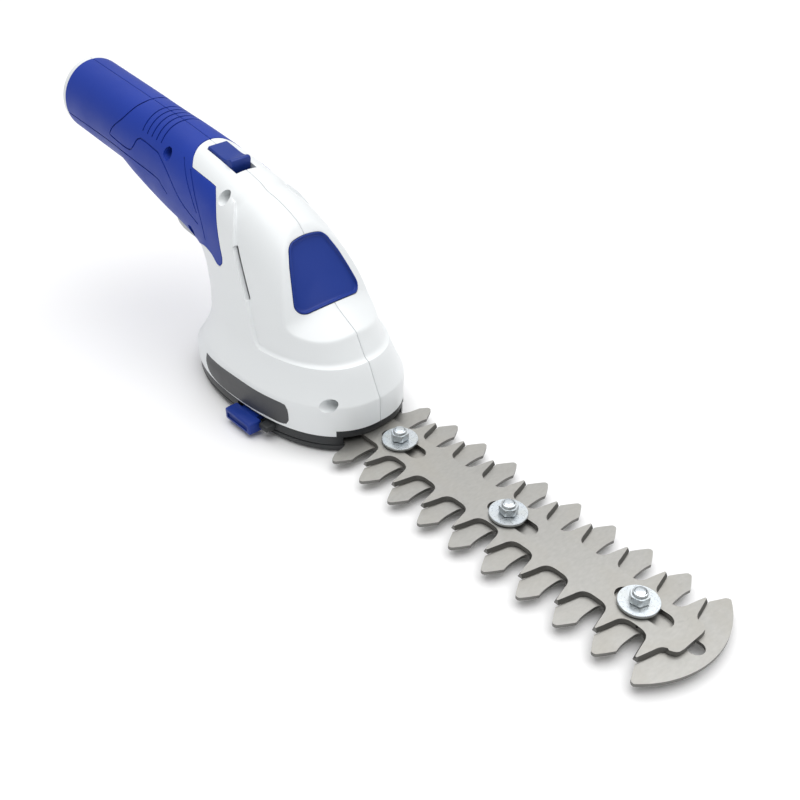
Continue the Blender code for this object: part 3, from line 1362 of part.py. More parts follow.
def make_latches():
    """Squeeze latches in the base: a dished button outside and a stem inside."""
    x0, x1 = LATCH_REAR_X, LATCH_REAR_X + LATCH_LENGTH
    mid, neck, out = (x0 + x1) / 2, latch_neck_y(), BASE_WIDTH / 2 + LATCH_REACH
    for side, tag in ((-1, "right"), (1, "left")):
        y0, y1 = sorted((side * neck, side * out))
        bm = bevelled(box((x0, y0, LATCH_BOTTOM_Z), (x1, y1, LATCH_TOP_Z)), 0.9, 40.0, 2)
        button = new_object(f"latch_{tag}", bm, BLUE)
        y0, y1 = sorted((side * latch_stem_y(), side * (neck + 2.0)))
        stem = box((mid - LATCH_STEM_HALF, y0, LATCH_STEM_BOTTOM_Z),
                   (mid + LATCH_STEM_HALF, y1, LATCH_TOP_Z - 0.6))
        boolean(button, new_object(f"latch_stem_{tag}", stem), "UNION")
        y0, y1 = sorted((side * (out - LATCH_DISH), side * (out + 2.0)))
        dish = box((x0 + LATCH_DISH_RIM, y0, LATCH_BOTTOM_Z + LATCH_DISH_RIM),
                   (x1 - LATCH_DISH_RIM, y1, LATCH_TOP_Z - LATCH_DISH_RIM))
        boolean(button, new_object(f"latch_dish_{tag}", dish))


def make_housing_screws():
    """Pan head screws along Y, sunk in the right half and driven into the left."""
    for key, (x, z) in SCREW_PLACES.items():
        seat = -SCREW_SEAT - GAP
        steps = ((seat - SCREW_HEAD_HEIGHT, SCREW_HEAD_R - 0.8), (seat - 0.8, SCREW_HEAD_R),
                 (seat, SCREW_HEAD_R), (seat, SCREW_SHANK_R), (SCREW_REACH, SCREW_SHANK_R))
        new_object(f"housing_screw_{key}", turned((x, 0.0, z), steps, 12, "Y"), STEEL)


def main():
    clear_scene()
    make_housing()
    make_grips()
    make_window()
    make_rear_end()
    make_cells()
    make_slider()
    make_trigger()
    make_housing_screws()
    make_comb()
    make_cutter()
    make_bolt_stacks()
    make_yoke()
    make_crank_gear()
    make_pinion()
    make_motor()
    make_motor_plate()
    make_base()
    make_carrier()
    make_latches()


main()
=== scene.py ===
"""Looks of the cordless shrub shears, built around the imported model.

Laid out as an add-on: one operator makes each piece or group of like pieces, and one sets the stage.
Sizes are in millimetres unless a name says otherwise; meshes are written in metres.
"""

import json
import math

import bmesh
import bpy
from bpy.props import FloatProperty, FloatVectorProperty, IntProperty, PointerProperty
from mathutils import Matrix, Vector

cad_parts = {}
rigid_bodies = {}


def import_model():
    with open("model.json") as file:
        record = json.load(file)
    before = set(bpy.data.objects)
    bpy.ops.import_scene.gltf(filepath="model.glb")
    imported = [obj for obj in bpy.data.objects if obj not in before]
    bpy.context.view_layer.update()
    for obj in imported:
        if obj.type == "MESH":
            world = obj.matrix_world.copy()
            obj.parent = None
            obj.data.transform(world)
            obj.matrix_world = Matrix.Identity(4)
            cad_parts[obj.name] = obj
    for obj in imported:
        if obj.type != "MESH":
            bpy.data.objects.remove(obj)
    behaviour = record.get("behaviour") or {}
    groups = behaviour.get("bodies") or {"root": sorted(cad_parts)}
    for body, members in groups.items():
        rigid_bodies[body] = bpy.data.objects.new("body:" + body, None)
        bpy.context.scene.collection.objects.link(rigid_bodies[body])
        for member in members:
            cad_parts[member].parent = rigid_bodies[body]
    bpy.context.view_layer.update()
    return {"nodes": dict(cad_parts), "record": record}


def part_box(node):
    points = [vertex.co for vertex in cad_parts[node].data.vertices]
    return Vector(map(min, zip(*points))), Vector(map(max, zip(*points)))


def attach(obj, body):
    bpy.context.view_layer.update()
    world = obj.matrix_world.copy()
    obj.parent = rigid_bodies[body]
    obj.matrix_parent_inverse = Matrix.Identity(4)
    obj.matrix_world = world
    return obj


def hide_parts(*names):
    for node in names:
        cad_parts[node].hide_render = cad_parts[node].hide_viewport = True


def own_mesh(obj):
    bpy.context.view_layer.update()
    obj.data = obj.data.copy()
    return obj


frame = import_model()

bl_info = {
    "name": "Cordless shrub shears",
    "version": (1, 0, 0),
    "blender": (4, 5, 0),
    "location": "3D View > Sidebar > Shears",
    "description": "Builds the visible pieces of a pair of cordless shrub shears around their CAD frame",
    "category": "Object",
}

MM = 0.001
GAP = 0.3
MERGE_DISTANCE = 0.01
SEAM = 0.22
SEAM_SHOULDER = 0.4
SEAM_CHAMFER = 0.16
WALL = 2.4
SIDES = ((-1, "right"), (1, "left"))

HANDLE_WIDTH = 35.6
HANDLE_HEIGHT = 38.4
HANDLE_RISE = math.radians(6.06)
HANDLE_REAR_X = -181.5
HANDLE_TOP_X = -116.0
HANDLE_TOP_Z = 114.3
HANDLE_SECTION_XS = (-168.0, -155.0, -142.0, -130.0)
END_CAP_LENGTH = 4.0
END_ROUND = 2.0

# Sections of the housing: front x and z, back x and z, half width, squareness
HOOD_STATIONS = (
    (-118.0, 114.5, -126.0, 73.0, 17.8, 2.05),
    (-105.0, 113.1, -112.0, 68.0, 18.0, 2.1),
    (-92.0, 111.7, -98.0, 64.0, 18.3, 2.15),
    (-76.0, 109.4, -84.0, 61.0, 18.8, 2.2),
    (-60.0, 106.4, -73.0, 58.5, 19.5, 2.3),
    (-45.0, 102.9, -66.0, 55.5, 20.5, 2.35),
    (-32.0, 99.6, -63.6, 52.0, 21.9, 2.4),
    (-20.0, 97.0, -62.8, 49.0, 23.2, 2.4),
    (-8.2, 92.2, -62.6, 46.6, 24.6, 2.4),
    (7.0, 82.3, -62.5, 44.6, 26.1, 2.4),
    (20.0, 70.2, -62.5, 43.3, 27.7, 2.4),
    (28.8, 58.8, -62.5, 42.3, 28.8, 2.4),
    (32.5, 49.8, -62.6, 41.5, 29.4, 2.38),
    (37.2, 40.9, -62.7, 40.8, 30.0, 2.36),
)
SKIRT_STATIONS = (
    (37.6, 40.3, -62.7, 40.3, 30.1, 2.36),
    (38.7, 38.5, -62.9, 38.5, 30.45, 2.36),
    (40.2, 35.0, -63.6, 35.0, 31.3, 2.36),
    (42.4, 30.0, -65.4, 30.0, 33.1, 2.36),
    (44.1, 26.3, -67.3, 26.3, 34.6, 2.36),
    (44.6, 25.4, -67.9, 25.4, 35.0, 2.36),
    (44.85, 24.9, -68.2, 24.9, 35.2, 2.36),
    (44.95, 24.3, -68.5, 24.3, 35.3, 2.36),
    (45.05, 22.0, -69.9, 22.0, 35.45, 2.36),
    (45.1, 19.0, -72.4, 19.0, 35.5, 2.36),
    (45.1, 17.2, -74.9, 17.2, 35.65, 2.36),
    (45.1, 16.0, -75.9, 16.0, 35.7, 2.36),
    (45.1, 9.6, -76.1, 9.6, 35.7, 2.36),
    (44.8, 9.3, -75.8, 9.3, 35.4, 2.36),
)
BASE_FRONT_X = 45.1
BASE_LENGTH = 121.2
BASE_WIDTH = 71.4
BASE_SQUARENESS = 2.36

FACET_CORNER = (15.7, 59.6)
FACET_RUN = 33.0
WINDOW_SLOPE = math.radians(49.8)
SHELF_SLOPE = math.radians(29.0)
FACET_ROUND = 0.65
FACET_FILLET = 1.1
FACET_LIFT = 0.066
FACET_CROWN = 0.0135
SHELF_CROWN = 0.0145
WINDOW_LENGTH = 31.5
WINDOW_MARGIN = 0.9
WINDOW_TOP_HALF = 9.8
WINDOW_BOTTOM_HALF = 18.6
WINDOW_BOW = 1.7
WINDOW_SIDE_BOW = 0.5
WINDOW_CORNERS = (4.6, 4.6, 4.0, 4.0)
WINDOW_DEPTH = 2.0

BIB_CREASE = ((-34.3, 95.8), (-30.8, 92.3), (-28.0, 87.9), (-25.7, 82.4), (-24.6, 79.5), (-22.0, 75.5),
              (-18.1, 69.3), (-12.0, 60.0), (-8.6, 51.1), (-4.9, 42.8), (-2.9, 40.8))
GRIP_OUTLINE = (
    (-72.4, 108.9), (-71.4, 107.1), (-69.3, 104.0), (-66.6, 100.7), (-50.2, 98.0), (-47.4, 96.7),
    (-43.7, 91.8), (-39.3, 83.1), (-35.7, 76.3), (-33.0, 71.5), (-32.8, 69.4), (-34.2, 67.6),
    (-37.0, 67.0), (-44.0, 69.4), (-53.0, 69.4), (-62.0, 65.6), (-73.0, 58.5),
)
GRIP_THICKNESS = 1.6
GROOVES = {
    "panel": ((-120.4, 125.0), (-120.6, 114.6), (-121.8, 113.2), (-126.0, 107.5), (-132.6, 101.9),
              (-135.9, 97.4), (-133.2, 96.6), (-117.6, 94.9), (-110.9, 101.7), (-106.1, 102.2),
              (-92.9, 100.2)),
    "low": ((-184.0, 96.6), (-149.8, 94.0), (-122.3, 91.2), (-94.9, 88.4), (-90.0, 86.0), (-85.5, 82.7)),
    "sweep_rear": ((-92.9, 100.2), (-83.8, 94.1), (-71.5, 83.2), (-57.3, 77.9)),
    "sweep_middle": ((-74.2, 103.0), (-69.8, 98.1), (-63.2, 90.3), (-57.9, 83.1)),
    "sweep_front": ((-67.1, 100.0), (-62.6, 95.1), (-56.5, 85.7), (-50.1, 73.3)),
}
RIB_COUNT = 5
RIB_PITCH = 4.0
RIB_FIRST_X = -109.0
RIB_BOTTOM_Z = 104.2
SCREW_PLACES = {
    "front": (35.6, 25.6),
    "neck": (-40.5, 95.1),
    "grip": (-86.0, 101.6),
    "low": (-68.0, 70.0),
}
SCREW_SEAT = 3.0
COUNTERBORE_R = 3.0
BOSS_R = 3.9
VENT_TOP = (-24.5, 79.0)
VENT_BOTTOM = (-12.3, 60.3)
VENT_HALF = 0.95

SLIDER_REAR_X = -66.5
SLIDER_LENGTH = 18.5
SLIDER_HALF = 5.2
SLIDER_TRAVEL = 4.0
SLIDER_TOP = ((0.2, 0.9), (6.0, 1.15), (11.0, 1.3), (14.2, 1.9), (16.2, 3.1), (17.4, 3.5))
TRIGGER_REAR_X = -100.7
TRIGGER_FRONT_X = -74.3
TRIGGER_HALF = 6.5
TRIGGER_TOP_Z = 67.6
TRIGGER_PIVOT = (-77.5, 65.6)
TRIGGER_SLOT = (-101.35, -6.83, -73.9, 6.83)
TRIGGER_SLOT_Z = (50.0, 70.9)
SPRING_X = -93.6
SPRING_SEAT_Z = 65.2

RIVET_PLACES = ((31.0, 13.0), (31.0, -13.0), (-21.0, 13.0), (-21.0, -13.0))
RIVET_R = 1.8
YOKE_RIVETS = (-6.0, 12.2)
POST_PLACES = ((15.0, 18.0), (15.0, -18.0), (-38.0, 16.0), (-38.0, -16.0))
POST_R = 3.4
POST_HEIGHT = 11.6
POST_BORE = (22.8, 1.6)
LATCH_X = (-15.0, 4.0)
LIP_HALF = 19.5
LIP_X = (27.0, 60.0)

# Layers of the base: z and inset, and for the deck how far its rear end is drawn forward
RIM_LAYERS = ((4.5, 0.8), (4.7, 0.55), (5.0, 0.5), (8.5, 0.5), (8.9, 0.6), (9.0, 0.8))
LIP_LAYERS = ((5.5, 0.5), (11.5, 0.5), (12.0, 0.65), (12.2, 1.0))
CARRIER_LAYERS = ((0.0, 2.9), (0.25, 2.35), (1.6, 1.15), (1.9, 1.05), (3.9, 0.5), (4.2, 0.75))
DECK_LAYERS = ((7.3, 3.0, 0.0), (13.4, 3.0, 0.0), (18.4, 3.3, 4.8))
DECK_TOP_Z = 17.4
THRUST_RING = ((12.6, 0.0), (15.0, 0.0), (15.0, 2.3), (12.6, 2.3))
CRANK_HOLE_R = 11.6
BLADE_CHANNEL = ((-29.0, -17.2, 0.0), (60.0, 17.2, 8.7))
YOKE_ROOM = ((-29.0, -17.2, 2.0), (19.0, 17.2, 15.8))

# Boxes on one side: x, distance from the middle plane and z
GUARD_BOX = ((4.6, 10.9), (31.7, 38.3), (4.9, 8.0))
LATCH_TAB = (LATCH_X, (35.9, 42.8), (2.2, 8.2))
LATCH_STEM = ((-11.0, 0.0), (24.0, 37.9), (4.9, 7.6))
LATCH_DISH = ((-13.2, 2.2), (41.9, 45.0), (3.8, 6.6))

LIGHT_UP = 9.0
LIGHT_ACROSS = -6.0
SOCKET_UP = -4.0

PITCH = 18.0
FIRST_SHOULDER_X = 34.0
COMB_LAG = 5.4
CUTTER_LAG = 11.2
TEETH = 9
COMB_Z = (4.5, 6.0)
CUTTER_Z = (6.3, 8.3)
CUTTER_LAND = 0.25
CUTTER_SLOT = (25.0, 4.0)
CUTTER_SLOT_FRONT = 14.9
COMB_SLOT = (206.0, 216.8, 3.35)
BOLT_HOLE_R = 2.3
BOLT_XS = (58.0, 123.0, 188.0)
NOSE_X = 220.5
NOSE_RADIUS = 41.3
NOSE_WING_Y = 29.0
COMB_FLANK = ((-9.0, 8.75), (-7.4, 8.75), (-6.0, 8.95), (-5.15, 9.75), (-4.7, 11.0), (-4.5, 12.8),
              (-4.4, 14.8), (-4.35, 17.0), (-4.45, 19.0), (-4.7, 20.7), (-5.0, 22.0))
COMB_TIP = ((-3.15, 25.2), (-1.5, 27.75), (-1.0, 28.4), (-0.45, 28.7))
CUTTER_FLANK = ((-9.0, 9.0), (-7.3, 9.0), (-5.9, 9.25), (-4.75, 9.85), (-3.95, 10.7), (-3.4, 11.7),
                (-3.1, 12.8), (-2.8, 14.1), (-2.45, 15.6), (-1.75, 18.3), (-1.05, 20.9))
CUTTER_EDGE = ((-9.0, 8.9), (-7.3, 8.9), (-5.75, 9.1), (-4.5, 9.6), (-3.55, 10.3), (-2.85, 11.4),
               (-2.4, 12.6), (-2.1, 13.9), (-1.72, 15.4), (-1.0, 18.2), (-0.3, 20.7))

WHITE = "white_shell"
BLUE_GRIP = "blue_grip"
BLUE = "blue_plastic"
GREY = "grey_plastic"
BLACK = "black_plastic"
BLADE = "blade_steel"
ZINC = "zinc"
STEEL = "steel"


# Small tools

def show(name, data):
    """Put a mesh, lamp or camera into the scene."""
    made = bpy.data.objects.new(name, data)
    bpy.context.scene.collection.objects.link(made)
    return made


def as_object(name, bm):
    """Write a mesh in millimetres as an object in metres at the origin."""
    for vert in bm.verts:
        vert.co = vert.co * MM
    mesh = bpy.data.meshes.new(name)
    bm.to_mesh(mesh)
    bm.free()
    return show(name, mesh)


def link(name, bm, slot_name=None, smooth=32.0):
    """Write a closed mesh as an object whose faces point outwards, with a finish if it is a piece."""
    face_outwards(bm)
    made = as_object(name, bm)
    if slot_name:
        dress(made.data, slot_name, smooth)
    return made


def dress(mesh, slot_name, smooth):
    """Give a mesh its finish, and shade it smooth up to an angle."""
    mesh.materials.clear()
    mesh.materials.append(finish_material(slot_name))
    mesh.shade_smooth()
    mesh.set_sharp_from_angle(angle=math.radians(smooth))


def face_outwards(bm):
    bmesh.ops.recalc_face_normals(bm, faces=bm.faces)
    if bm.calc_volume(signed=True) < 0.0:
        bmesh.ops.reverse_faces(bm, faces=bm.faces)


def ride(piece, body, slot_name, *nodes):
    """Tie a finished piece to its body and hide the nodes that it stands for; the finish that it is given is
    not used.
    """
    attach(piece, body)
    if nodes:
        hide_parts(*nodes)
    return piece


def plain_mesh(name, source, *drop):
    """Turn an object with modifiers into one with a plain mesh, and remove it and its tools."""
    graph = bpy.context.evaluated_depsgraph_get()
    mesh = bpy.data.meshes.new_from_object(source.evaluated_get(graph))
    if not mesh.polygons:
        raise RuntimeError(f"{name} came out empty")
    mesh.name = name
    for old in (source, *drop):
        bpy.data.objects.remove(old, do_unlink=True)
    return show(name, mesh)


def bake(name, source, slot_name, smooth=32.0, drop=()):
    """Turn an object with modifiers into a finished piece."""
    made = plain_mesh(name, source, *drop)
    dress(made.data, slot_name, smooth)
    return made


def combine(target, tool, operation="DIFFERENCE"):
    step = target.modifiers.new(operation.lower(), "BOOLEAN")
    step.operation = operation
    step.solver = "EXACT"
    step.object = tool
    return target


def skin(bm, rings):
    """Join rings of equal length into a tube, and close its two ends."""
    rows = [[bm.verts.new(point) for point in ring] for ring in rings]
    count = len(rows[0])
    for low, high in zip(rows, rows[1:]):
        for k in range(count):
            after = (k + 1) % count
            bm.faces.new((low[k], low[after], high[after], high[k]))
    bm.faces.new(rows[0])
    bm.faces.new(rows[-1])
    return bm


def raised(axis, point, height):
    """A point of a flat outline at a height along the Y or Z axis."""
    return (point[0], height, point[1]) if axis == "Y" else (point[0], point[1], height)


def add_prism(bm, outline, low, high, axis="Z"):
    """Extrude a flat outline between two heights along an axis."""
    return skin(bm, [[raised(axis, p, height) for p in outline] for height in (low, high)])


def prism(outline, low, high, axis="Z"):
    return add_prism(bmesh.new(), outline, low, high, axis)


def box_outline(x0, y0, x1, y1):
    return [(x0, y0), (x1, y0), (x1, y1), (x0, y1)]


def box(low, high):
    return prism(box_outline(low[0], low[1], high[0], high[1]), low[2], high[2])


def circle(cx, cy, radius, sides=32):
    return [(cx + radius * math.cos(math.tau * k / sides),
             cy + radius * math.sin(math.tau * k / sides)) for k in range(sides)]


def turned(centre, steps, sides=32, axis="Z"):
    """A turned piece from (height, radius) pairs along an axis."""
    cx, cy, cz = centre
    rings = []
    for height, radius in steps:
        ring = [raised(axis, point, height) for point in circle(0.0, 0.0, radius, sides)]
        rings.append([(cx + x, cy + y, cz + z) for x, y, z in ring])
    return skin(bmesh.new(), rings)


def closed_loops(bm, loops):
    """Join rings in turn, and the last with the first."""
    count = len(loops[0])
    for low, high in zip(loops, loops[1:] + loops[:1]):
        for k in range(count):
            after = (k + 1) % count
            bm.faces.new((low[k], low[after], high[after], high[k]))
    return bm


def ring_piece(centre, profile, sides=48):
    """A ring with a bore: a closed profile of (radius, height) pairs turned about Z."""
    bm = bmesh.new()
    cx, cy, cz = centre
    loops = [[bm.verts.new((cx + a, cy + b, cz + height)) for a, b in circle(0, 0, radius, sides)]
             for radius, height in profile]
    return closed_loops(bm, loops)


def round_edges(bm, width, sharper_than=40.0, segments=2):
    """Round every edge sharper than an angle."""
    face_outwards(bm)
    edges = [edge for edge in bm.edges
             if edge.is_manifold and edge.calc_face_angle(0.0) > math.radians(sharper_than)]
    bmesh.ops.bevel(bm, geom=edges, offset=width, segments=segments, profile=0.5,
                    affect="EDGES", clamp_overlap=True)
    return bm


def round_corners(corners, radii, steps):
    """Replace each corner of a convex polygon with an arc of its own radius."""
    outline = []
    count = len(corners)
    for k, corner in enumerate(corners):
        here = Vector(corner)
        before = (Vector(corners[k - 1]) - here).normalized()
        after = (Vector(corners[(k + 1) % count]) - here).normalized()
        half_angle, radius = before.angle(after) / 2, radii[k]
        centre = here + (before + after).normalized() * radius / math.sin(half_angle)
        start = here + before * radius / math.tan(half_angle) - centre
        end = here + after * radius / math.tan(half_angle) - centre
        sweep = start.angle_signed(end)
        for s in range(steps + 1):
            outline.append(tuple(centre + Matrix.Rotation(-sweep * s / steps, 2) @ start))
    return outline


def offset_outline(outline, amount):
    """Move a closed outline outwards by a small amount."""
    count = len(outline)
    area = sum(outline[k][0] * outline[(k + 1) % count][1]
               - outline[(k + 1) % count][0] * outline[k][1] for k in range(count))
    sign = 1.0 if area > 0 else -1.0
    moved = []
    for k in range(count):
        before = (Vector(outline[k]) - Vector(outline[k - 1])).normalized()
        after = (Vector(outline[(k + 1) % count]) - Vector(outline[k])).normalized()
        normal_a = Vector((before.y, -before.x)) * sign
        normal_b = Vector((after.y, -after.x)) * sign
        mitre = (normal_a + normal_b) / (1.0 + normal_a.dot(normal_b))
        moved.append(tuple(Vector(outline[k]) + mitre * amount))
    return moved


def smooth_line(points, step, like=None):
    """A Catmull-Rom line through points, sampled at about a given step, or as often as another line."""
    like = like or points
    made = []
    count = len(points)
    for k in range(count - 1):
        p0 = Vector(points[max(k - 1, 0)])
        p1, p2 = Vector(points[k]), Vector(points[k + 1])
        p3 = Vector(points[min(k + 2, count - 1)])
        parts = max(1, round((Vector(like[k + 1]) - Vector(like[k])).length / step))
        for s in range(parts):
            t = s / parts
            point = 0.5 * (2 * p1 + (p2 - p0) * t + (2 * p0 - 5 * p1 + 4 * p2 - p3) * t * t
                           + (3 * p1 - p0 - 3 * p2 + p3) * t ** 3)
            made.append(tuple(point))
    made.append(tuple(points[-1]))
    return made


def soft_least(a, b, width):
    """The smaller of two values, rounded off where they are close."""
    close = max(width - abs(a - b), 0.0) / width
    return min(a, b) - close * close * width / 4


def smooth_step(low, high, value):
    t = min(max((value - low) / (high - low), 0.0), 1.0)
    return t * t * (3 - 2 * t)


# The housing's form

def handle_station(top_x, inset=0.0):
    """A round section square to the handle, given by where it meets the top line."""
    top_z = HANDLE_TOP_Z - math.tan(HANDLE_RISE) * (top_x - HANDLE_TOP_X)
    along_x, along_z = -math.sin(HANDLE_RISE), -math.cos(HANDLE_RISE)
    depth = HANDLE_HEIGHT - inset
    return (top_x + along_x * inset, top_z + along_z * inset,
            top_x + along_x * depth, top_z + along_z * depth, HANDLE_WIDTH / 2 - inset, 2.0)


def end_stations():
    """Rounded rear edge of the handle."""
    made = []
    for k in range(5):
        angle = math.pi / 2 * k / 4
        made.append(handle_station(HANDLE_REAR_X - 0.2 + END_ROUND * (1 - math.cos(angle)),
                                   END_ROUND * (1 - math.sin(angle))))
    return made


def eased(stations, pitch):
    """Smooth sections between the given ones, spaced by about a pitch on their longer side."""
    made = []
    count = len(stations)
    for k in range(count - 1):
        p0 = Vector(stations[max(k - 1, 0)])
        p1, p2 = Vector(stations[k]), Vector(stations[k + 1])
        p3 = Vector(stations[min(k + 2, count - 1)])
        reach = [max(math.hypot(b[0] - a[0], b[1] - a[1]), 0.3)
                 for a, b in ((p0, p1), (p1, p2), (p2, p3))]
        slope_1 = (p2 - p0) * reach[1] / (reach[0] + reach[1]) if k > 0 else p2 - p1
        slope_2 = (p3 - p1) * reach[1] / (reach[1] + reach[2]) if k < count - 2 else p2 - p1
        parts = max(1, math.ceil(reach[1] / pitch))
        for s in range(parts):
            t = s / parts
            h00, h10 = 2 * t ** 3 - 3 * t * t + 1, t ** 3 - 2 * t * t + t
            h01, h11 = -2 * t ** 3 + 3 * t * t, t ** 3 - t * t
            made.append(tuple(p1 * h00 + slope_1 * h10 + p2 * h01 + slope_2 * h11))
    made.append(tuple(stations[-1]))
    return made


def form_stations(pitch):
    """Sections from the rear end to the skirt's lower edge."""
    handle = [handle_station(x) for x in (HANDLE_REAR_X + END_CAP_LENGTH, *HANDLE_SECTION_XS)]
    return [*end_stations(), *handle, *eased(HOOD_STATIONS, pitch), *SKIRT_STATIONS]


def signed_power(value, power):
    return math.copysign(abs(value) ** power, value)


def section_point(station, turn, side, inset):
    """A point of a section; turn is 0 at the front or top and pi at the back or bottom."""
    fx, fz, bx, bz, half, squareness = station
    length = math.hypot(fx - bx, fz - bz)
    along = signed_power(math.cos(turn), 2 / squareness) * (length - 2 * inset) / length / 2
    across = signed_power(math.sin(turn), 2 / squareness) * (half - inset)
    return Vector(((fx + bx) / 2 + (fx - bx) * along, side * across, (fz + bz) / 2 + (fz - bz) * along))


def facet_rise(along, across):
    """How far the window facet stands off its plane: it lifts towards the top and its sides fall away."""
    along = min(max(along, 0.0), FACET_RUN)
    return FACET_LIFT * along - FACET_CROWN * across ** 2 * (1 - along / FACET_RUN)


def facet_point(point):
    """Move a point of the form back onto the window or shelf facet, with soft edges."""
    normals = (Vector((math.sin(WINDOW_SLOPE), 0.0, math.cos(WINDOW_SLOPE))),
               Vector((math.sin(SHELF_SLOPE), 0.0, math.cos(SHELF_SLOPE))))
    corner = Vector((FACET_CORNER[0], 0.0, FACET_CORNER[1]))
    above = [(point - corner).dot(normal) for normal in normals]
    slope = Vector((-math.cos(WINDOW_SLOPE), 0.0, math.sin(WINDOW_SLOPE)))
    above[0] -= facet_rise((point - corner).dot(slope), point.y)
    above[1] += SHELF_CROWN * point.y ** 2
    nearest = soft_least(above[0], above[1], FACET_FILLET)
    if nearest < -FACET_ROUND:
        return point
    share = smooth_step(-FACET_FILLET, FACET_FILLET, above[1] - above[0])
    normal = (normals[0] * share + normals[1] * (1 - share)).normalized()
    return point + normal * (soft_least(nearest, 0.0, FACET_ROUND) - nearest)


def crease_turn(station):
    """Where the front panel's crease crosses a section."""
    fx, fz, bx, bz, _, squareness = station
    start, run = Vector((fx, fz)), Vector((bx - fx, bz - fz))
    for low, high in zip(BIB_CREASE, BIB_CREASE[1:]):
        edge = Vector(high) - Vector(low)
        cross = run.x * edge.y - run.y * edge.x
        if abs(cross) < 1e-6:
            continue
        gap = Vector(low) - start
        share = (gap.x * edge.y - gap.y * edge.x) / cross
        place = (gap.x * run.y - gap.y * run.x) / cross
        if -0.001 <= place <= 1.001 and 0.0 <= share <= 1.0:
            return math.acos(signed_power(1.0 - 2.0 * share, squareness / 2))
    return None


FRONT_COLUMNS = 40
BACK_COLUMNS = 30
CREASE_SHARE = (1.0, 0.9, 0.28, 0.0)


def bib_strength(station):
    """How far the front panel is set back at a section, from 0 to 1."""
    fx, fz = station[0], station[1]
    if fx < 0.0 and fz > 60.0:
        return smooth_step(-35.5, -27.0, fx)
    return smooth_step(40.35, 41.2, fz)


def half_ring(station, side, bib_depth, turn_at_crease, inset=0.0):
    """Points round one half of a section, lined up with the crease."""
    half_strip = 0.5 / max(station[4], 1.0)
    shoulder = math.asin((SEAM_SHOULDER / station[4]) ** (station[5] / 2))
    front = turn_at_crease - half_strip - shoulder
    turns = [0.0, *[shoulder + front * k / FRONT_COLUMNS for k in range(FRONT_COLUMNS)]]
    shares = [1.0] * (FRONT_COLUMNS + 1)
    for k, share in enumerate(CREASE_SHARE):
        turns.append(turn_at_crease + half_strip * (2 * k / 3 - 1))
        shares.append(share)
    rest = turn_at_crease + half_strip
    back = math.pi - shoulder - rest
    turns += [*[rest + back * k / BACK_COLUMNS for k in range(1, BACK_COLUMNS + 1)], math.pi]
    shares += [0.0] * (BACK_COLUMNS + 1)
    ring = []
    for turn, share in zip(turns, shares):
        point = section_point(station, turn, side, inset + bib_depth * bib_strength(station) * share)
        ring.append(facet_point(point))
    return ring


def seam_points(ring, side):
    """Keep a half ring on its side of the seam, and draw its two ends in to chamfer the joint."""
    for point in ring:
        point.y = side * max(abs(point.y), SEAM / 2)
    middle = (ring[0] + ring[-1]) / 2
    for end in (0, -1):
        inward = Vector((middle.x - ring[end].x, 0.0, middle.z - ring[end].z)).normalized()
        ring[end] = ring[end] + inward * SEAM_CHAMFER
    return ring


def half_form(side, bib_depth, pitch, proud=0.0):
    """One half of the housing's outside as a closed solid with a flat seam face."""
    stations = form_stations(pitch)
    turns = [crease_turn(station) for station in stations]
    known = [k for k, turn in enumerate(turns) if turn is not None]
    first, last = known[0], known[-1]
    rings = []
    for k, station in enumerate(stations):
        if k < first:
            turn = turns[first]
        elif k > last:
            turn = turns[last]
        else:
            turn = turns[k] if turns[k] is not None else turns[k - 1]
            turns[k] = turn
        floor = 0.9 - 0.55 * smooth_step(-70.0, -38.0, station[0])
        turn = max(turn, floor)
        rings.append(seam_points(half_ring(station, side, bib_depth, turn, -proud), side))
    bm = skin(bmesh.new(), rings)
    bmesh.ops.triangulate(bm, faces=[face for face in bm.faces if len(face.verts) > 4])
    return bm


def whole_form(inset, sides=40, first=0, floor=None, pitch=6.0):
    """The whole form drawn in by an even amount."""
    stations = form_stations(pitch)[first:]
    if floor is not None:
        stations.append((BASE_FRONT_X, floor, BASE_FRONT_X - BASE_LENGTH, floor,
                         BASE_WIDTH / 2, BASE_SQUARENESS))
    bm = skin(bmesh.new(), [[section_point(station, math.tau * k / sides, 1, inset)
                             for k in range(sides)] for station in stations])
    bmesh.ops.triangulate(bm, faces=bm.faces)
    return bm


def facet_wedge(back_off):
    """Block in front of the two facets, moved back by an amount."""
    middle = (WINDOW_SLOPE + SHELF_SLOPE) / 2
    reach = back_off / math.cos((WINDOW_SLOPE - SHELF_SLOPE) / 2)
    corner = (FACET_CORNER[0] - math.sin(middle) * reach, FACET_CORNER[1] - math.cos(middle) * reach)
    top = (corner[0] - math.cos(WINDOW_SLOPE) * 60, corner[1] + math.sin(WINDOW_SLOPE) * 60)
    low = (corner[0] + math.cos(SHELF_SLOPE) * 40, corner[1] - math.sin(SHELF_SLOPE) * 40)
    far = (corner[0] + 90, corner[1] + 60)
    return prism([corner, low, (far[0], low[1]), far, (top[0], far[1]), top], -50.0, 50.0, "Y")


def on_facet(along, across, out):
    """A point on the window facet: up its slope from the corner, across, and out of it."""
    out += facet_rise(along, across)
    x = FACET_CORNER[0] - math.cos(WINDOW_SLOPE) * along + math.sin(WINDOW_SLOPE) * out
    z = FACET_CORNER[1] + math.sin(WINDOW_SLOPE) * along + math.cos(WINDOW_SLOPE) * out
    return (x, across, z)


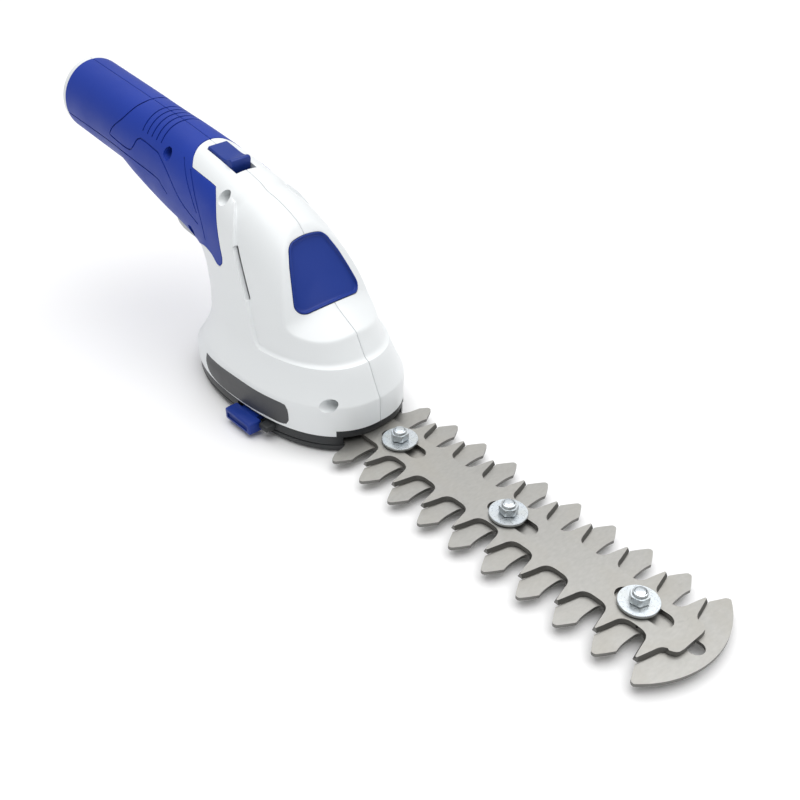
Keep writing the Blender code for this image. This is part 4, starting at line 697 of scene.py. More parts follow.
def window_outline(grow):
    """Trapezoid with round corners, a bowed top and slightly bowed sides, as (along, across) pairs."""
    low = WINDOW_MARGIN - grow
    high = WINDOW_MARGIN + WINDOW_LENGTH + grow
    corners = ((low, -WINDOW_BOTTOM_HALF - grow), (low, WINDOW_BOTTOM_HALF + grow),
               (high, WINDOW_TOP_HALF + grow), (high, -WINDOW_TOP_HALF - grow))
    outline = round_corners(corners, [radius + grow for radius in WINDOW_CORNERS], 8)
    dense = []
    for k, start in enumerate(outline):
        end = outline[(k + 1) % len(outline)]
        parts = 12 if k % 9 == 8 else 1
        dense += [tuple(Vector(start).lerp(Vector(end), s / parts)) for s in range(parts)]
    made = []
    for along, across in dense:
        share = smooth_step(high - 12.0, high, along)
        part = (along - low) / (high - low)
        side = WINDOW_SIDE_BOW * 4 * part * (1 - part) * across / WINDOW_BOTTOM_HALF
        made.append((along - WINDOW_BOW * share * (across / WINDOW_TOP_HALF) ** 2, across + side))
    return made


def window_ring(grow, share, out):
    """The window's outline on its facet, drawn in and then shrunk towards its middle by a share."""
    middle = WINDOW_MARGIN + WINDOW_LENGTH * 0.46
    return [on_facet(middle + (a - middle) * share, c * share, out) for a, c in window_outline(grow)]


def window_solid(bm, grow, low, high):
    skin(bm, [[on_facet(a, c, out) for a, c in window_outline(grow)] for out in (low, high)])


def grip_region(grow, fine=True):
    """Side outline of the soft grip."""
    rear = handle_station(HANDLE_REAR_X + END_CAP_LENGTH)
    lean = math.tan(HANDLE_RISE)
    curve = smooth_line(GRIP_OUTLINE[3:], 1.6) if fine else list(GRIP_OUTLINE[3:])
    outline = [(rear[0] + lean * 12, rear[1] + 12), (-74.0, rear[1] + 12), *GRIP_OUTLINE[:3], *curve,
               (-77.0, 45.0), (rear[2] - lean * 38, 45.0)]
    return offset_outline(outline, grow)


def slider_point(along, across, up):
    """A point in the slider's frame: from its rear end forward, across and off the housing."""
    (behind_x, behind_z), (middle_x, middle_z), (ahead_x, ahead_z) = (
        station[:2] for station in HOOD_STATIONS[3:6])
    slope = math.atan2(middle_z - ahead_z, ahead_x - middle_x)
    base_z = middle_z + (behind_z - middle_z) * (middle_x - SLIDER_REAR_X) / (middle_x - behind_x)
    return (SLIDER_REAR_X + math.cos(slope) * along + math.sin(slope) * up, across,
            base_z - math.sin(slope) * along + math.cos(slope) * up)


def add_slider_slot(bm):
    front = SLIDER_LENGTH + SLIDER_TRAVEL + GAP
    outline = [(-GAP, -4.6), (front, -4.6), (front, 6.0), (-GAP, 6.0)]
    half = SLIDER_HALF + GAP
    skin(bm, [[slider_point(a, side * half, u) for a, u in outline] for side in (-1, 1)])


def add_trigger_slot(bm):
    add_prism(bm, box_outline(*TRIGGER_SLOT), *TRIGGER_SLOT_Z)


def add_bores(bm, keys=None):
    """Counterbores with a small lead-in, from the right side."""
    for key, (x, z) in SCREW_PLACES.items():
        if keys and key not in keys:
            continue
        rings = []
        for height, radius in ((-60.0, COUNTERBORE_R), (-SCREW_SEAT, COUNTERBORE_R),
                               (-SCREW_SEAT, 1.8), (10.0, 1.8)):
            rings.append([(x + a, height, z + b) for a, b in circle(0, 0, radius, 32)])
        skin(bm, rings)


def add_vent(bm):
    top, bottom = Vector(VENT_TOP), Vector(VENT_BOTTOM)
    lean = math.atan2(bottom.y - top.y, bottom.x - top.x)
    outline = []
    for end, turn in ((bottom, lean - math.pi / 2), (top, lean + math.pi / 2)):
        for k in range(9):
            angle = turn + math.pi * k / 8
            outline.append((end.x + VENT_HALF * math.cos(angle), end.y + VENT_HALF * math.sin(angle)))
    add_prism(bm, outline, -45.0, 45.0, "Y")


def groove_strip(points, width):
    """A thin closed outline along a line."""
    line = smooth_line(points, 2.0)
    left, right = [], []
    for k, point in enumerate(line):
        ahead = Vector(line[min(k + 1, len(line) - 1)]) - Vector(line[max(k - 1, 0)])
        across = Vector((-ahead.y, ahead.x)).normalized() * width / 2
        left.append(tuple(Vector(point) + across))
        right.append(tuple(Vector(point) - across))
    return left + right[::-1]


# Finishes

GRAIN_DEPTH = 0.00004
MARK_DEPTH = 0.00003


class Nodes:
    """A node tree that is built up step by step."""

    def __init__(self, tree):
        self.tree = tree

    def node(self, kind, inputs, result=0, **values):
        """Add a node, set or join its inputs, and return one of its outputs."""
        made = self.tree.nodes.new(kind)
        for key, value in values.items():
            setattr(made, key, value)
        for label, value in inputs.items():
            self.give(made.inputs[label], value)
        return made.outputs[result]

    def give(self, socket, value):
        """Join an output to an input, or set it to a value."""
        if isinstance(value, bpy.types.NodeSocket):
            self.tree.links.new(value, socket)
        elif socket.type == "RGBA":
            socket.default_value = (*value[:3], 1.0)
        else:
            socket.default_value = value


class Finish(Nodes):
    """A material made of nodes."""

    def __init__(self, name):
        self.material = bpy.data.materials.new(name)
        self.material.use_nodes = True
        super().__init__(self.material.node_tree)
        self.shader = self.tree.nodes["Principled BSDF"]
        self.coordinates = self.node("ShaderNodeTexCoord", {}, "Object")

    def shade(self, **inputs):
        """Set or join inputs of the shader."""
        for label, value in inputs.items():
            self.give(self.shader.inputs[label.replace("_", " ")], value)
        return self.material

    def noise(self, scale, detail=3.0, stretch=(1.0, 1.0, 1.0), distortion=0.0):
        place = self.node("ShaderNodeMapping", {"Scale": stretch, "Vector": self.coordinates})
        return self.node("ShaderNodeTexNoise", {"Scale": scale, "Detail": detail, "Distortion": distortion,
                                                "Vector": place}, "Fac")

    def ramp(self, value, low, high, start=0.3, end=0.7):
        return self.node("ShaderNodeMapRange", {"From Min": start, "From Max": end, "To Min": low,
                                                "To Max": high, "Value": value}, "Result")

    def mix(self, share, first, second):
        """Mix two colours; 6 and 7 are the mix node's colour inputs and 2 its colour output."""
        return self.node("ShaderNodeMix", {"Factor": share, 6: first, 7: second}, 2, data_type="RGBA")

    def painted_wall_shade(self, low, high):
        """Share of painted shade for a face by how steep it stands: 1 on a cut edge or wall, 0 on a flat
        face.
        """
        normal = self.node("ShaderNodeNewGeometry", {}, "True Normal")
        rise = self.node("ShaderNodeSeparateXYZ", {"Vector": normal}, "Z")
        return self.ramp(self.node("ShaderNodeMath", {0: rise}, operation="ABSOLUTE"), 1.0, 0.0, low, high)

    def bump(self, height, strength, distance, **normal):
        return self.node("ShaderNodeBump", {"Strength": strength, "Distance": distance, "Height": height,
                                            **normal})


def tinted(colour, share):
    """A colour made darker or lighter."""
    return tuple(min(part * share, 1.0) for part in colour)


def moulded(name, colour, roughness, grain=0.05, grain_scale=1400.0, spread=0.05):
    """Moulded plastic: slight flow shading, uneven gloss and a fine surface grain."""
    made = Finish(name)
    flow = made.ramp(made.noise(14.0, 4.0), 0.0, 1.0)
    handling = made.noise(60.0, 5.0, distortion=0.4)
    fine = made.noise(grain_scale, 2.0)
    made.shade(Base_Color=made.mix(flow, tinted(colour, 1.0 - spread), tinted(colour, 1.0 + spread * 0.6)),
               Roughness=made.ramp(handling, roughness - 0.05, roughness + 0.06),
               Normal=made.bump(fine, grain, GRAIN_DEPTH))
    return made


def finish_white(name, colour):
    made = moulded(name, colour, 0.36, 0.10, 1600.0, 0.012)
    return made.shade(Coat_Weight=0.12, Coat_Roughness=0.22)


def finish_rubber(name, colour):
    made = moulded(name, colour, 0.5, 0.25, 2200.0, 0.10)
    return made.shade(Specular_IOR_Level=0.25, Sheen_Weight=0.03, Sheen_Roughness=0.5)


def finish_plastic(name, colour):
    return moulded(name, colour, 0.42, 0.12, 1500.0, 0.06).shade(Specular_IOR_Level=0.32)


def finish_black(name, colour):
    return moulded(name, colour, 0.42, 0.35, 1100.0, 0.25).material


def finish_blade(name, colour):
    """Ground steel: marks across the blade, a faint oil film, small stains and painted shade on the walls and
    bevels.
    """
    made = Finish(name)
    marks = made.noise(900.0, 4.0, (1.0, 0.45, 0.5))
    cross = made.noise(600.0, 3.0, (0.3, 1.0, 0.3))
    cloud = made.noise(45.0, 6.0, distortion=0.8)
    spots = made.noise(230.0, 5.0, distortion=1.2)
    warm = (colour[0] * 0.93, colour[1] * 0.89, colour[2] * 0.82)
    base = made.mix(made.ramp(marks, 0.0, 1.0, 0.25, 0.75), tinted(colour, 0.93), tinted(colour, 1.04))
    base = made.mix(made.ramp(cloud, 0.0, 0.5, 0.42, 0.78), base, warm)
    base = made.mix(made.ramp(spots, 0.0, 0.3, 0.66, 0.78), base, tinted(colour, 0.6))
    # Painted shade: walls and bevels are darkened to stand in for their shade and their dark reflection.
    base = made.mix(made.painted_wall_shade(0.45, 0.97), base, tinted(colour, 0.4))
    grooves = made.bump(marks, 0.05, MARK_DEPTH)
    return made.shade(Metallic=1.0, Base_Color=base, Roughness=made.ramp(cloud, 0.40, 0.52, 0.3, 0.75),
                      Normal=made.bump(cross, 0.04, MARK_DEPTH, Normal=grooves))


def finish_zinc(name, colour):
    """Bright zinc plate with fine tumbling marks, and painted shade on its steep faces."""
    made = Finish(name)
    fine = made.noise(900.0, 3.0)
    tint = (colour[0] * 0.96, colour[1] * 0.99, min(colour[2] * 1.05, 1.0))
    base = made.mix(made.ramp(made.noise(200.0, 4.0), 0.0, 1.0), tinted(colour, 0.93), tint)
    # Painted shade: steep sides of nuts, washers and bolt heads darkened to stand in for their shade.
    base = made.mix(made.painted_wall_shade(0.3, 0.95), base, tinted(colour, 0.5))
    return made.shade(Metallic=1.0, Base_Color=base, Roughness=made.ramp(fine, 0.24, 0.36),
                      Normal=made.bump(fine, 0.04, MARK_DEPTH))


def finish_steel(name, colour):
    """Turned or drawn steel."""
    made = Finish(name)
    marks = made.noise(700.0, 3.0, (0.1, 1.0, 1.0))
    base = made.mix(made.ramp(marks, 0.0, 1.0), tinted(colour, 0.8), colour)
    return made.shade(Metallic=1.0, Base_Color=base, Roughness=made.ramp(marks, 0.25, 0.42),
                      Normal=made.bump(marks, 0.1, MARK_DEPTH))


def finish_board(name, colour):
    """Solder mask with copper under it."""
    made = Finish(name)
    tracks = made.node("ShaderNodeTexVoronoi", {"Scale": 420.0, "Vector": made.coordinates}, "Distance",
                       feature="DISTANCE_TO_EDGE")
    copper = tuple(part * 1.9 + 0.01 for part in colour)
    return made.shade(Base_Color=made.mix(made.ramp(tracks, 1.0, 0.0, 0.02, 0.06), colour, copper),
                      Roughness=made.ramp(made.noise(300.0), 0.3, 0.45))


def finish_wrap(name, colour):
    """Shrink film over a cell, with a lighter band."""
    made = moulded(name, colour, 0.3, 0.1, 800.0, 0.08)
    wave = made.node("ShaderNodeTexWave", {"Scale": 6.0, "Vector": made.coordinates}, "Fac",
                     bands_direction="X")
    return made.shade(Base_Color=made.mix(made.ramp(wave, 0.0, 0.35, 0.9, 0.95), colour, (0.6, 0.7, 0.7)))


def finish_label(name, colour):
    """Printed film: near black, finely speckled."""
    made = moulded(name, colour, 0.42, 0.12, 900.0, 0.2)
    speck = made.ramp(made.noise(2600.0, 2.0), 0.0, 0.5, 0.55, 0.8)
    return made.shade(Base_Color=made.mix(speck, colour, tinted(colour, 1.8)))


FINISHES = {
    "white_shell": (finish_white, "shell"),
    "blue_grip": (finish_rubber, "grip"),
    "blue_plastic": (finish_plastic, "blue_parts"),
    "grey_plastic": (finish_plastic, "trigger"),
    "black_plastic": (finish_black, "base"),
    "blade_steel": (finish_blade, (0.46, 0.455, 0.435)),
    "zinc": (finish_zinc, (0.82, 0.86, 0.87)),
    "steel": (finish_steel, (0.55, 0.55, 0.56)),
    "motor_can": (finish_steel, (0.20, 0.20, 0.21)),
    "nylon": (finish_plastic, (0.80, 0.79, 0.74)),
    "circuit_board": (finish_board, (0.02, 0.16, 0.07)),
    "cell_wrap": (finish_wrap, (0.10, 0.32, 0.40)),
    "lens": (finish_plastic, (0.55, 0.58, 0.60)),
    "bronze": (finish_zinc, (0.55, 0.36, 0.16)),
    "label": (finish_label, (0.045, 0.047, 0.05)),
}


def finish_material(slot_name):
    """The finish of a slot, made once; a colour is a value or the name of a setting."""
    name = f"{slot_name}_finish"
    found = bpy.data.materials.get(name)
    if found:
        return found
    maker, colour = FINISHES[slot_name]
    if isinstance(colour, str):
        colour = tuple(getattr(bpy.context.scene.shears_colours, colour))
    return maker(name, colour)


# Node trees

class Repeat(Nodes):
    """A geometry node group that repeats an object."""

    def __init__(self, name, inputs):
        super().__init__(bpy.data.node_groups.new(name, "GeometryNodeTree"))
        for label, kind in inputs.items():
            self.tree.interface.new_socket(label, in_out="INPUT", socket_type=f"NodeSocket{kind}")
        self.tree.interface.new_socket("Geometry", in_out="OUTPUT", socket_type="NodeSocketGeometry")
        self.given = self.tree.nodes.new("NodeGroupInput").outputs

    def copies(self, points, part, **turned):
        """Real copies of an input object on points."""
        source = self.node("GeometryNodeObjectInfo", {"Object": self.given[part]}, "Geometry")
        place = self.node("GeometryNodeInstanceOnPoints", {"Points": points, "Instance": source, **turned})
        return self.node("GeometryNodeRealizeInstances", {"Geometry": place})

    def close(self, geometry):
        """Paint the result with the given finish and hand it out."""
        paint = self.node("GeometryNodeSetMaterial", {"Geometry": geometry, "Material": self.given["Finish"]})
        self.give(self.tree.nodes.new("NodeGroupOutput").inputs["Geometry"], paint)
        return self.tree


def repeat_tree(name):
    """Node tree: repeats an object along X and merges it with the modifier's own mesh."""
    made = Repeat(name, {"Ends": "Geometry", "Cell": "Object", "Count": "Int", "First": "Float",
                         "Pitch": "Float", "Finish": "Material"})
    start = made.node("ShaderNodeCombineXYZ", {"X": made.given["First"]})
    stride = made.node("ShaderNodeCombineXYZ", {"X": made.given["Pitch"]})
    line = made.node("GeometryNodeMeshLine", {"Count": made.given["Count"], "Start Location": start,
                                              "Offset": stride}, mode="OFFSET")
    both = made.node("GeometryNodeJoinGeometry", {"Geometry": made.given["Ends"]})
    made.give(both.node.inputs["Geometry"], made.copies(line, "Cell"))
    return made.close(made.node("GeometryNodeMergeByDistance", {"Geometry": both,
                                                                "Distance": MERGE_DISTANCE * MM}))


def points_tree(name):
    """Node tree: places an object on every point of the modifier's own mesh."""
    made = Repeat(name, {"Places": "Geometry", "Part": "Object", "Turn each": "Float",
                         "Finish": "Material"})
    index = made.node("GeometryNodeInputIndex", {})
    turn = made.node("ShaderNodeMath", {0: index, 1: made.given["Turn each"]}, operation="MULTIPLY")
    spin = made.node("ShaderNodeCombineXYZ", {"Z": turn})
    return made.close(made.copies(made.given["Places"], "Part", Rotation=spin))


def place_points(name, points):
    """An object that is only points, in millimetres."""
    bm = bmesh.new()
    for point in points:
        bm.verts.new(point)
    return as_object(name, bm)


def with_tree(target, tree, **values):
    """Add a node modifier and set its inputs by their sockets' identifiers."""
    step = target.modifiers.new(tree.name, "NODES")
    step.node_group = tree
    keys = {item.name: item.identifier for item in tree.interface.items_tree
            if item.item_type == "SOCKET" and item.in_out == "INPUT"}
    for name, value in values.items():
        step[keys[name.replace("_", " ")]] = value
    return target


# Settings

def colour_setting(label, what, colour):
    return FloatVectorProperty(name=label, description=f"Colour of {what}", subtype="COLOR",
                               size=3, min=0.0, max=1.0, default=colour)


def length_setting(label, what, value, low, high):
    return FloatProperty(name=label, description=f"{what} in millimetres", default=value, min=low, max=high)


class ShearsColours(bpy.types.PropertyGroup):
    """Colours of the moulded pieces."""

    shell: colour_setting("Shell", "the housing", (0.80, 0.825, 0.835))
    grip: colour_setting("Grip", "the soft grip", (0.008, 0.038, 0.33))
    blue_parts: colour_setting("Blue parts", "window, slider and latches", (0.008, 0.034, 0.245))
    trigger: colour_setting("Trigger", "the trigger", (0.50, 0.52, 0.54))
    base: colour_setting("Base", "the base and blade carrier", (0.016, 0.018, 0.020))


class ShearsSizes(bpy.types.PropertyGroup):
    """Sizes of details that the frame leaves to the looks."""

    bib_depth: length_setting("Panel set-back", "Depth of the front panel", 1.6, 0.0, 2.0)
    groove_width: length_setting("Groove width", "Width of the grip's grooves", 0.7, 0.2, 1.5)
    groove_depth: length_setting("Groove depth", "Depth of the grip's grooves", 0.5, 0.1, 1.0)
    ring_pitch: length_setting("Mesh pitch", "Spacing of the housing's sections", 1.1, 0.8, 6.0)
    nut_flats: length_setting("Nut size", "Width across flats", 7.0, 5.0, 8.0)
    tooth_bevel: FloatProperty(name="Tooth bevel", description="Share of the bevel on each cutter tooth",
                               default=1.0, min=0.1, max=1.0, subtype="FACTOR")
    thread_turns: IntProperty(name="Thread turns", description="Turns of thread above each nut",
                              default=4, min=1, max=8)


# Housing

class OBJECT_OT_shears_housing(bpy.types.Operator):
    """Make the two housing halves with their recesses, slots, vents and screw holes"""

    bl_idname = "object.shears_housing"
    bl_label = "Housing halves"

    def execute(self, context):
        sizes = context.scene.shears_sizes
        for side, tag in SIDES:
            shell = link("shell_draft", half_form(side, sizes.bib_depth, sizes.ring_pitch))
            tools = self.tools()
            for tool in tools:
                combine(shell, tool)
            made = bake(f"shell_{tag}", shell, WHITE, 34.0, tools)
            ride(made, "housing", WHITE, f"housing_{tag}")
        return {"FINISHED"}

    def tools(self):
        """What is cut from each half, in order."""
        hollow = link("hollow", whole_form(WALL, first=4, floor=3.0))
        limit = link("hollow_limit", prism(grip_region(2.0, False), -40.0, 40.0, "Y"))
        core = link("hollow_core", whole_form(WALL + GRIP_THICKNESS + GAP))
        wedge = link("hollow_wedge", facet_wedge(9.0))
        bosses = bmesh.new()
        for x, z in SCREW_PLACES.values():
            add_prism(bosses, circle(x, z, BOSS_R, 32), -60.0, 60.0, "Y")
        bosses = link("bosses", bosses)
        combine(limit, core)
        combine(hollow, limit)
        combine(hollow, wedge)
        combine(hollow, bosses)
        hollow = plain_mesh("hollow_tool", hollow, limit, core, wedge, bosses)
        recess = link("recess", prism(grip_region(GAP), -40.0, 40.0, "Y"))
        core = link("recess_core", whole_form(GRIP_THICKNESS + GAP))
        recess = plain_mesh("recess_tool", combine(recess, core), core)
        openings = bmesh.new()
        window_solid(openings, GAP, -WINDOW_DEPTH - GAP, 14.0)
        add_vent(openings)
        add_prism(openings, box_outline(26.0, -LIP_HALF - GAP, 60.0, LIP_HALF + GAP), 0.0, 12.5)
        add_slider_slot(openings)
        slot = bmesh.new()
        add_trigger_slot(slot)
        bores = bmesh.new()
        add_bores(bores)
        add_rear_round(bores, ((3.7, -4.0), (3.7, 8.0)), SOCKET_UP, 0.0)
        add_rear_round(bores, ((2.7, -4.0), (2.7, 8.0)), LIGHT_UP, LIGHT_ACROSS)
        return [link("openings", openings), recess, link("trigger_slot", slot), hollow,
                link("bores", bores)]


def rear_frame(out, up, across):
    """A point near the handle's rear end: out of the end, up its section and across."""
    station = handle_station(HANDLE_REAR_X)
    mid_x, mid_z = (station[0] + station[2]) / 2, (station[1] + station[3]) / 2
    x = mid_x - math.cos(HANDLE_RISE) * out + math.sin(HANDLE_RISE) * up
    z = mid_z + math.sin(HANDLE_RISE) * out + math.cos(HANDLE_RISE) * up
    return (x, across, z)


def add_rear_round(bm, profile, up, across, sides=28):
    """Add a round form in the handle's rear end; the profile is (radius, out) pairs."""
    return skin(bm, [[rear_frame(out, up + a, across + b) for a, b in circle(0, 0, radius, sides)]
                     for radius, out in profile])


class OBJECT_OT_shears_grips(bpy.types.Operator):
    """Make the soft grip on both halves, with finger grooves and panel lines"""

    bl_idname = "object.shears_grips"
    bl_label = "Soft grips"

    def execute(self, context):
        sizes = context.scene.shears_sizes
        grooves = self.grooves(sizes.groove_width)
        keep = link("groove_floor", whole_form(sizes.groove_depth, sides=96, pitch=3.0))
        grooves = plain_mesh("groove_tool", combine(grooves, keep), keep)
        region = link("region", prism(grip_region(0.0), -40.0, 40.0, "Y"))
        core = link("grip_core", whole_form(GRIP_THICKNESS))
        openings = bmesh.new()
        add_trigger_slot(openings)
        add_bores(openings, ("grip", "low"))
        openings = link("grip_openings", openings)
        tools = (region, core, openings, grooves)
        for side, tag in SIDES:
            grip = link("grip_draft", half_form(side, 0.0, 2.0, 0.15))
            combine(grip, region, "INTERSECT")
            for tool in tools[1:]:
                combine(grip, tool)
            linings = self.linings() if side < 0 else ()
            for lining in linings:
                combine(grip, lining, "UNION")
            made = bake(f"grip_skin_{tag}", grip, BLUE_GRIP, 34.0, linings)
            ride(made, "housing", BLUE_GRIP, f"grip_{tag}")
        for tool in tools:
            bpy.data.objects.remove(tool, do_unlink=True)
        return {"FINISHED"}

    def linings(self):
        """Sleeves that line the grip's screw holes down to the screws."""
        sleeves, rooms = bmesh.new(), bmesh.new()
        for key in ("grip", "low"):
            x, z = SCREW_PLACES[key]
            add_prism(sleeves, circle(x, z, COUNTERBORE_R + 0.02, 32), -60.0, -SCREW_SEAT - 2.9, "Y")
            add_prism(rooms, circle(x, z, COUNTERBORE_R - 0.45, 32), -70.0, 0.0, "Y")
        sleeves = link("lining", sleeves)
        rooms, form = link("lining_room", rooms), link("lining_form", whole_form(0.5, sides=96, pitch=3.0))
        combine(sleeves, form, "INTERSECT")
        return [plain_mesh("linings", combine(sleeves, rooms), rooms, form)]

    def grooves(self, width):
        """Finger grooves over the top, joined with the drawn lines."""
        strips = bmesh.new()
        for k in range(RIB_COUNT):
            x = RIB_FIRST_X + k * RIB_PITCH
            add_prism(strips, box_outline(x - 0.4, RIB_BOTTOM_Z, x + 0.4, 130.0), -14.0, 14.0, "Y")
        made = link("grooves", strips)
        for key, points in GROOVES.items():
            tool = link(f"groove_{key}", prism(groove_strip(points, width), -40.0, 40.0, "Y"))
            combine(made, tool, "UNION")
        tools = [o for o in bpy.data.objects if o.name.startswith("groove_")]
        return plain_mesh("groove_lines", made, *tools)


class OBJECT_OT_shears_window(bpy.types.Operator):
    """Make the dished panel in the hood, with its raised rim"""

    bl_idname = "object.shears_window"
    bl_label = "Hood panel"

    def execute(self, context):
        rim = ((0.0, -WINDOW_DEPTH), (0.0, 0.25), (-0.1, 0.5), (-0.3, 0.62), (-0.55, 0.6), (-0.75, 0.42),
               (-1.0, -0.15), (-1.25, -0.6), (-1.7, -0.8))
        rings = [window_ring(grow, 1.0, out) for grow, out in rim]
        for share in (0.95, 0.85, 0.7, 0.5, 0.3, 0.12):
            rings.append(window_ring(-1.7, share, -0.8 - 0.4 * (1 - share * share)))
        made = link("window_panel", skin(bmesh.new(), rings), BLUE, 50.0)
        ride(made, "housing", BLUE, "hood_window")
        return {"FINISHED"}


def soft_sides(half, edge):
    """Mirror a rounded edge: from (in from the side, drop) pairs to (across, drop) pairs."""
    near = [(-half + inward, drop) for inward, drop in edge]
    return [*near, *[(-across, drop) for across, drop in reversed(near)]]


class OBJECT_OT_shears_slider(bpy.types.Operator):
    """Make the lock-off slider with its thumb stop"""

    bl_idname = "object.shears_slider"
    bl_label = "Lock-off slider"

    def execute(self, context):
        outline = [(0.0, -3.4), (0.0, 0.4), *smooth_line(SLIDER_TOP, 0.8), (18.2, 3.2),
                   (SLIDER_LENGTH, 2.4), (SLIDER_LENGTH, -3.4)]
        edge = soft_sides(SLIDER_HALF, ((0.0, 0.5), (0.15, 0.2), (0.5, 0.0)))
        rings = [[slider_point(a, across, u - drop if u > 0 else u) for a, u in outline]
                 for across, drop in edge]
        made = link("slider_cap", skin(bmesh.new(), rings), BLUE, 38.0)
        ride(made, "slider", BLUE, "lock_off_slider")
        return {"FINISHED"}


class OBJECT_OT_shears_trigger(bpy.types.Operator):
    """Make the trigger lever and its return spring"""

    bl_idname = "object.shears_trigger"
    bl_label = "Trigger"

    def execute(self, context):
        rear, front = TRIGGER_REAR_X, TRIGGER_FRONT_X
        belly = smooth_line([(rear, 65.4), (rear, 61.8), (rear + 0.6, 59.7), (rear + 2.5, 57.9),
                             (rear + 6.5, 56.6), (rear + 12.6, 55.9), (rear + 18.9, 55.6),
                             (front - 3.8, 55.3), (front - 1.4, 55.2), (front - 0.3, 55.9),
                             (front, 57.2)], 0.9)
        outline = [*belly, (front, 66.8), (front - 1.4, TRIGGER_TOP_Z), (rear, TRIGGER_TOP_Z)]
        edge = soft_sides(TRIGGER_HALF, ((0.0, 0.8), (0.3, 0.25), (0.9, 0.0)))
        rings = [[(x, across, z + (rise if z < 65.0 else 0.0)) for x, z in outline]
                 for across, rise in edge]
        lever = link("trigger_draft", skin(bmesh.new(), rings))
        pivot = (TRIGGER_PIVOT[0], -8.0, TRIGGER_PIVOT[1])
        bore = link("trigger_bore", turned(pivot, ((0.0, 1.6), (16.0, 1.6)), 32, "Y"))
        seat = link("trigger_seat", turned((SPRING_X, 0.0, SPRING_SEAT_Z), ((0.0, 2.8), (6.0, 2.8)), 32))
        combine(lever, bore)
        combine(lever, seat)
        made = bake("trigger_lever_skin", lever, GREY, 36.0, (bore, seat))
        ride(made, "trigger_lever", GREY, "trigger")
        self.spring()
        return {"FINISHED"}

    def spring(self):
        """Return spring, a coil that fills the spring's box in the frame."""
        low, high = (Vector(corner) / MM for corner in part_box("trigger_spring"))
        wire, turns, steps = 0.35, 5, 20
        radius = (high.x - low.x) / 2 - wire
        middle = (low + high) / 2
        rings = []
        for k in range(turns * steps + 1):
            turn = math.tau * k / steps
            out = Vector((math.cos(turn), math.sin(turn), 0.0))
            rise = low.z + wire + (high.z - low.z - 2 * wire) * k / (turns * steps)
            centre = Vector((middle.x, middle.y, rise)) + out * radius
            section = circle(0.0, 0.0, wire, 10)
            rings.append([centre + out * a + Vector((0.0, 0.0, b)) for a, b in section])
        made = link("trigger_coil", skin(bmesh.new(), rings), STEEL, 60.0)
        ride(made, "housing", STEEL, "trigger_spring")
        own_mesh(made)


# Base

def base_outline(inset, count=160):
    half_length, half_width = BASE_LENGTH / 2 - inset, BASE_WIDTH / 2 - inset
    points = []
    for k in range(count):
        turn = math.tau * k / count
        points.append((BASE_FRONT_X - BASE_LENGTH / 2
                       + half_length * signed_power(math.cos(turn), 2 / BASE_SQUARENESS),
                       half_width * signed_power(math.sin(turn), 2 / BASE_SQUARENESS)))
    return points


def base_stack(layers):
    """The base's outline at several heights; layers are (z, inset)."""
    return skin(bmesh.new(), [[(x, y, z) for x, y in base_outline(inset)] for z, inset in layers])


def side_box(side, x_range, y_range, z_range):
    """A box on one side of the middle plane; y_range is its distance from it."""
    y0, y1 = sorted((side * y_range[0], side * y_range[1]))
    return box((x_range[0], y0, z_range[0]), (x_range[1], y1, z_range[1]))


def latch_room(side, y_range, z_range):
    """Room for a latch, with a gap at its two ends."""
    return side_box(side, (LATCH_X[0] - GAP, LATCH_X[1] + GAP), y_range, z_range)


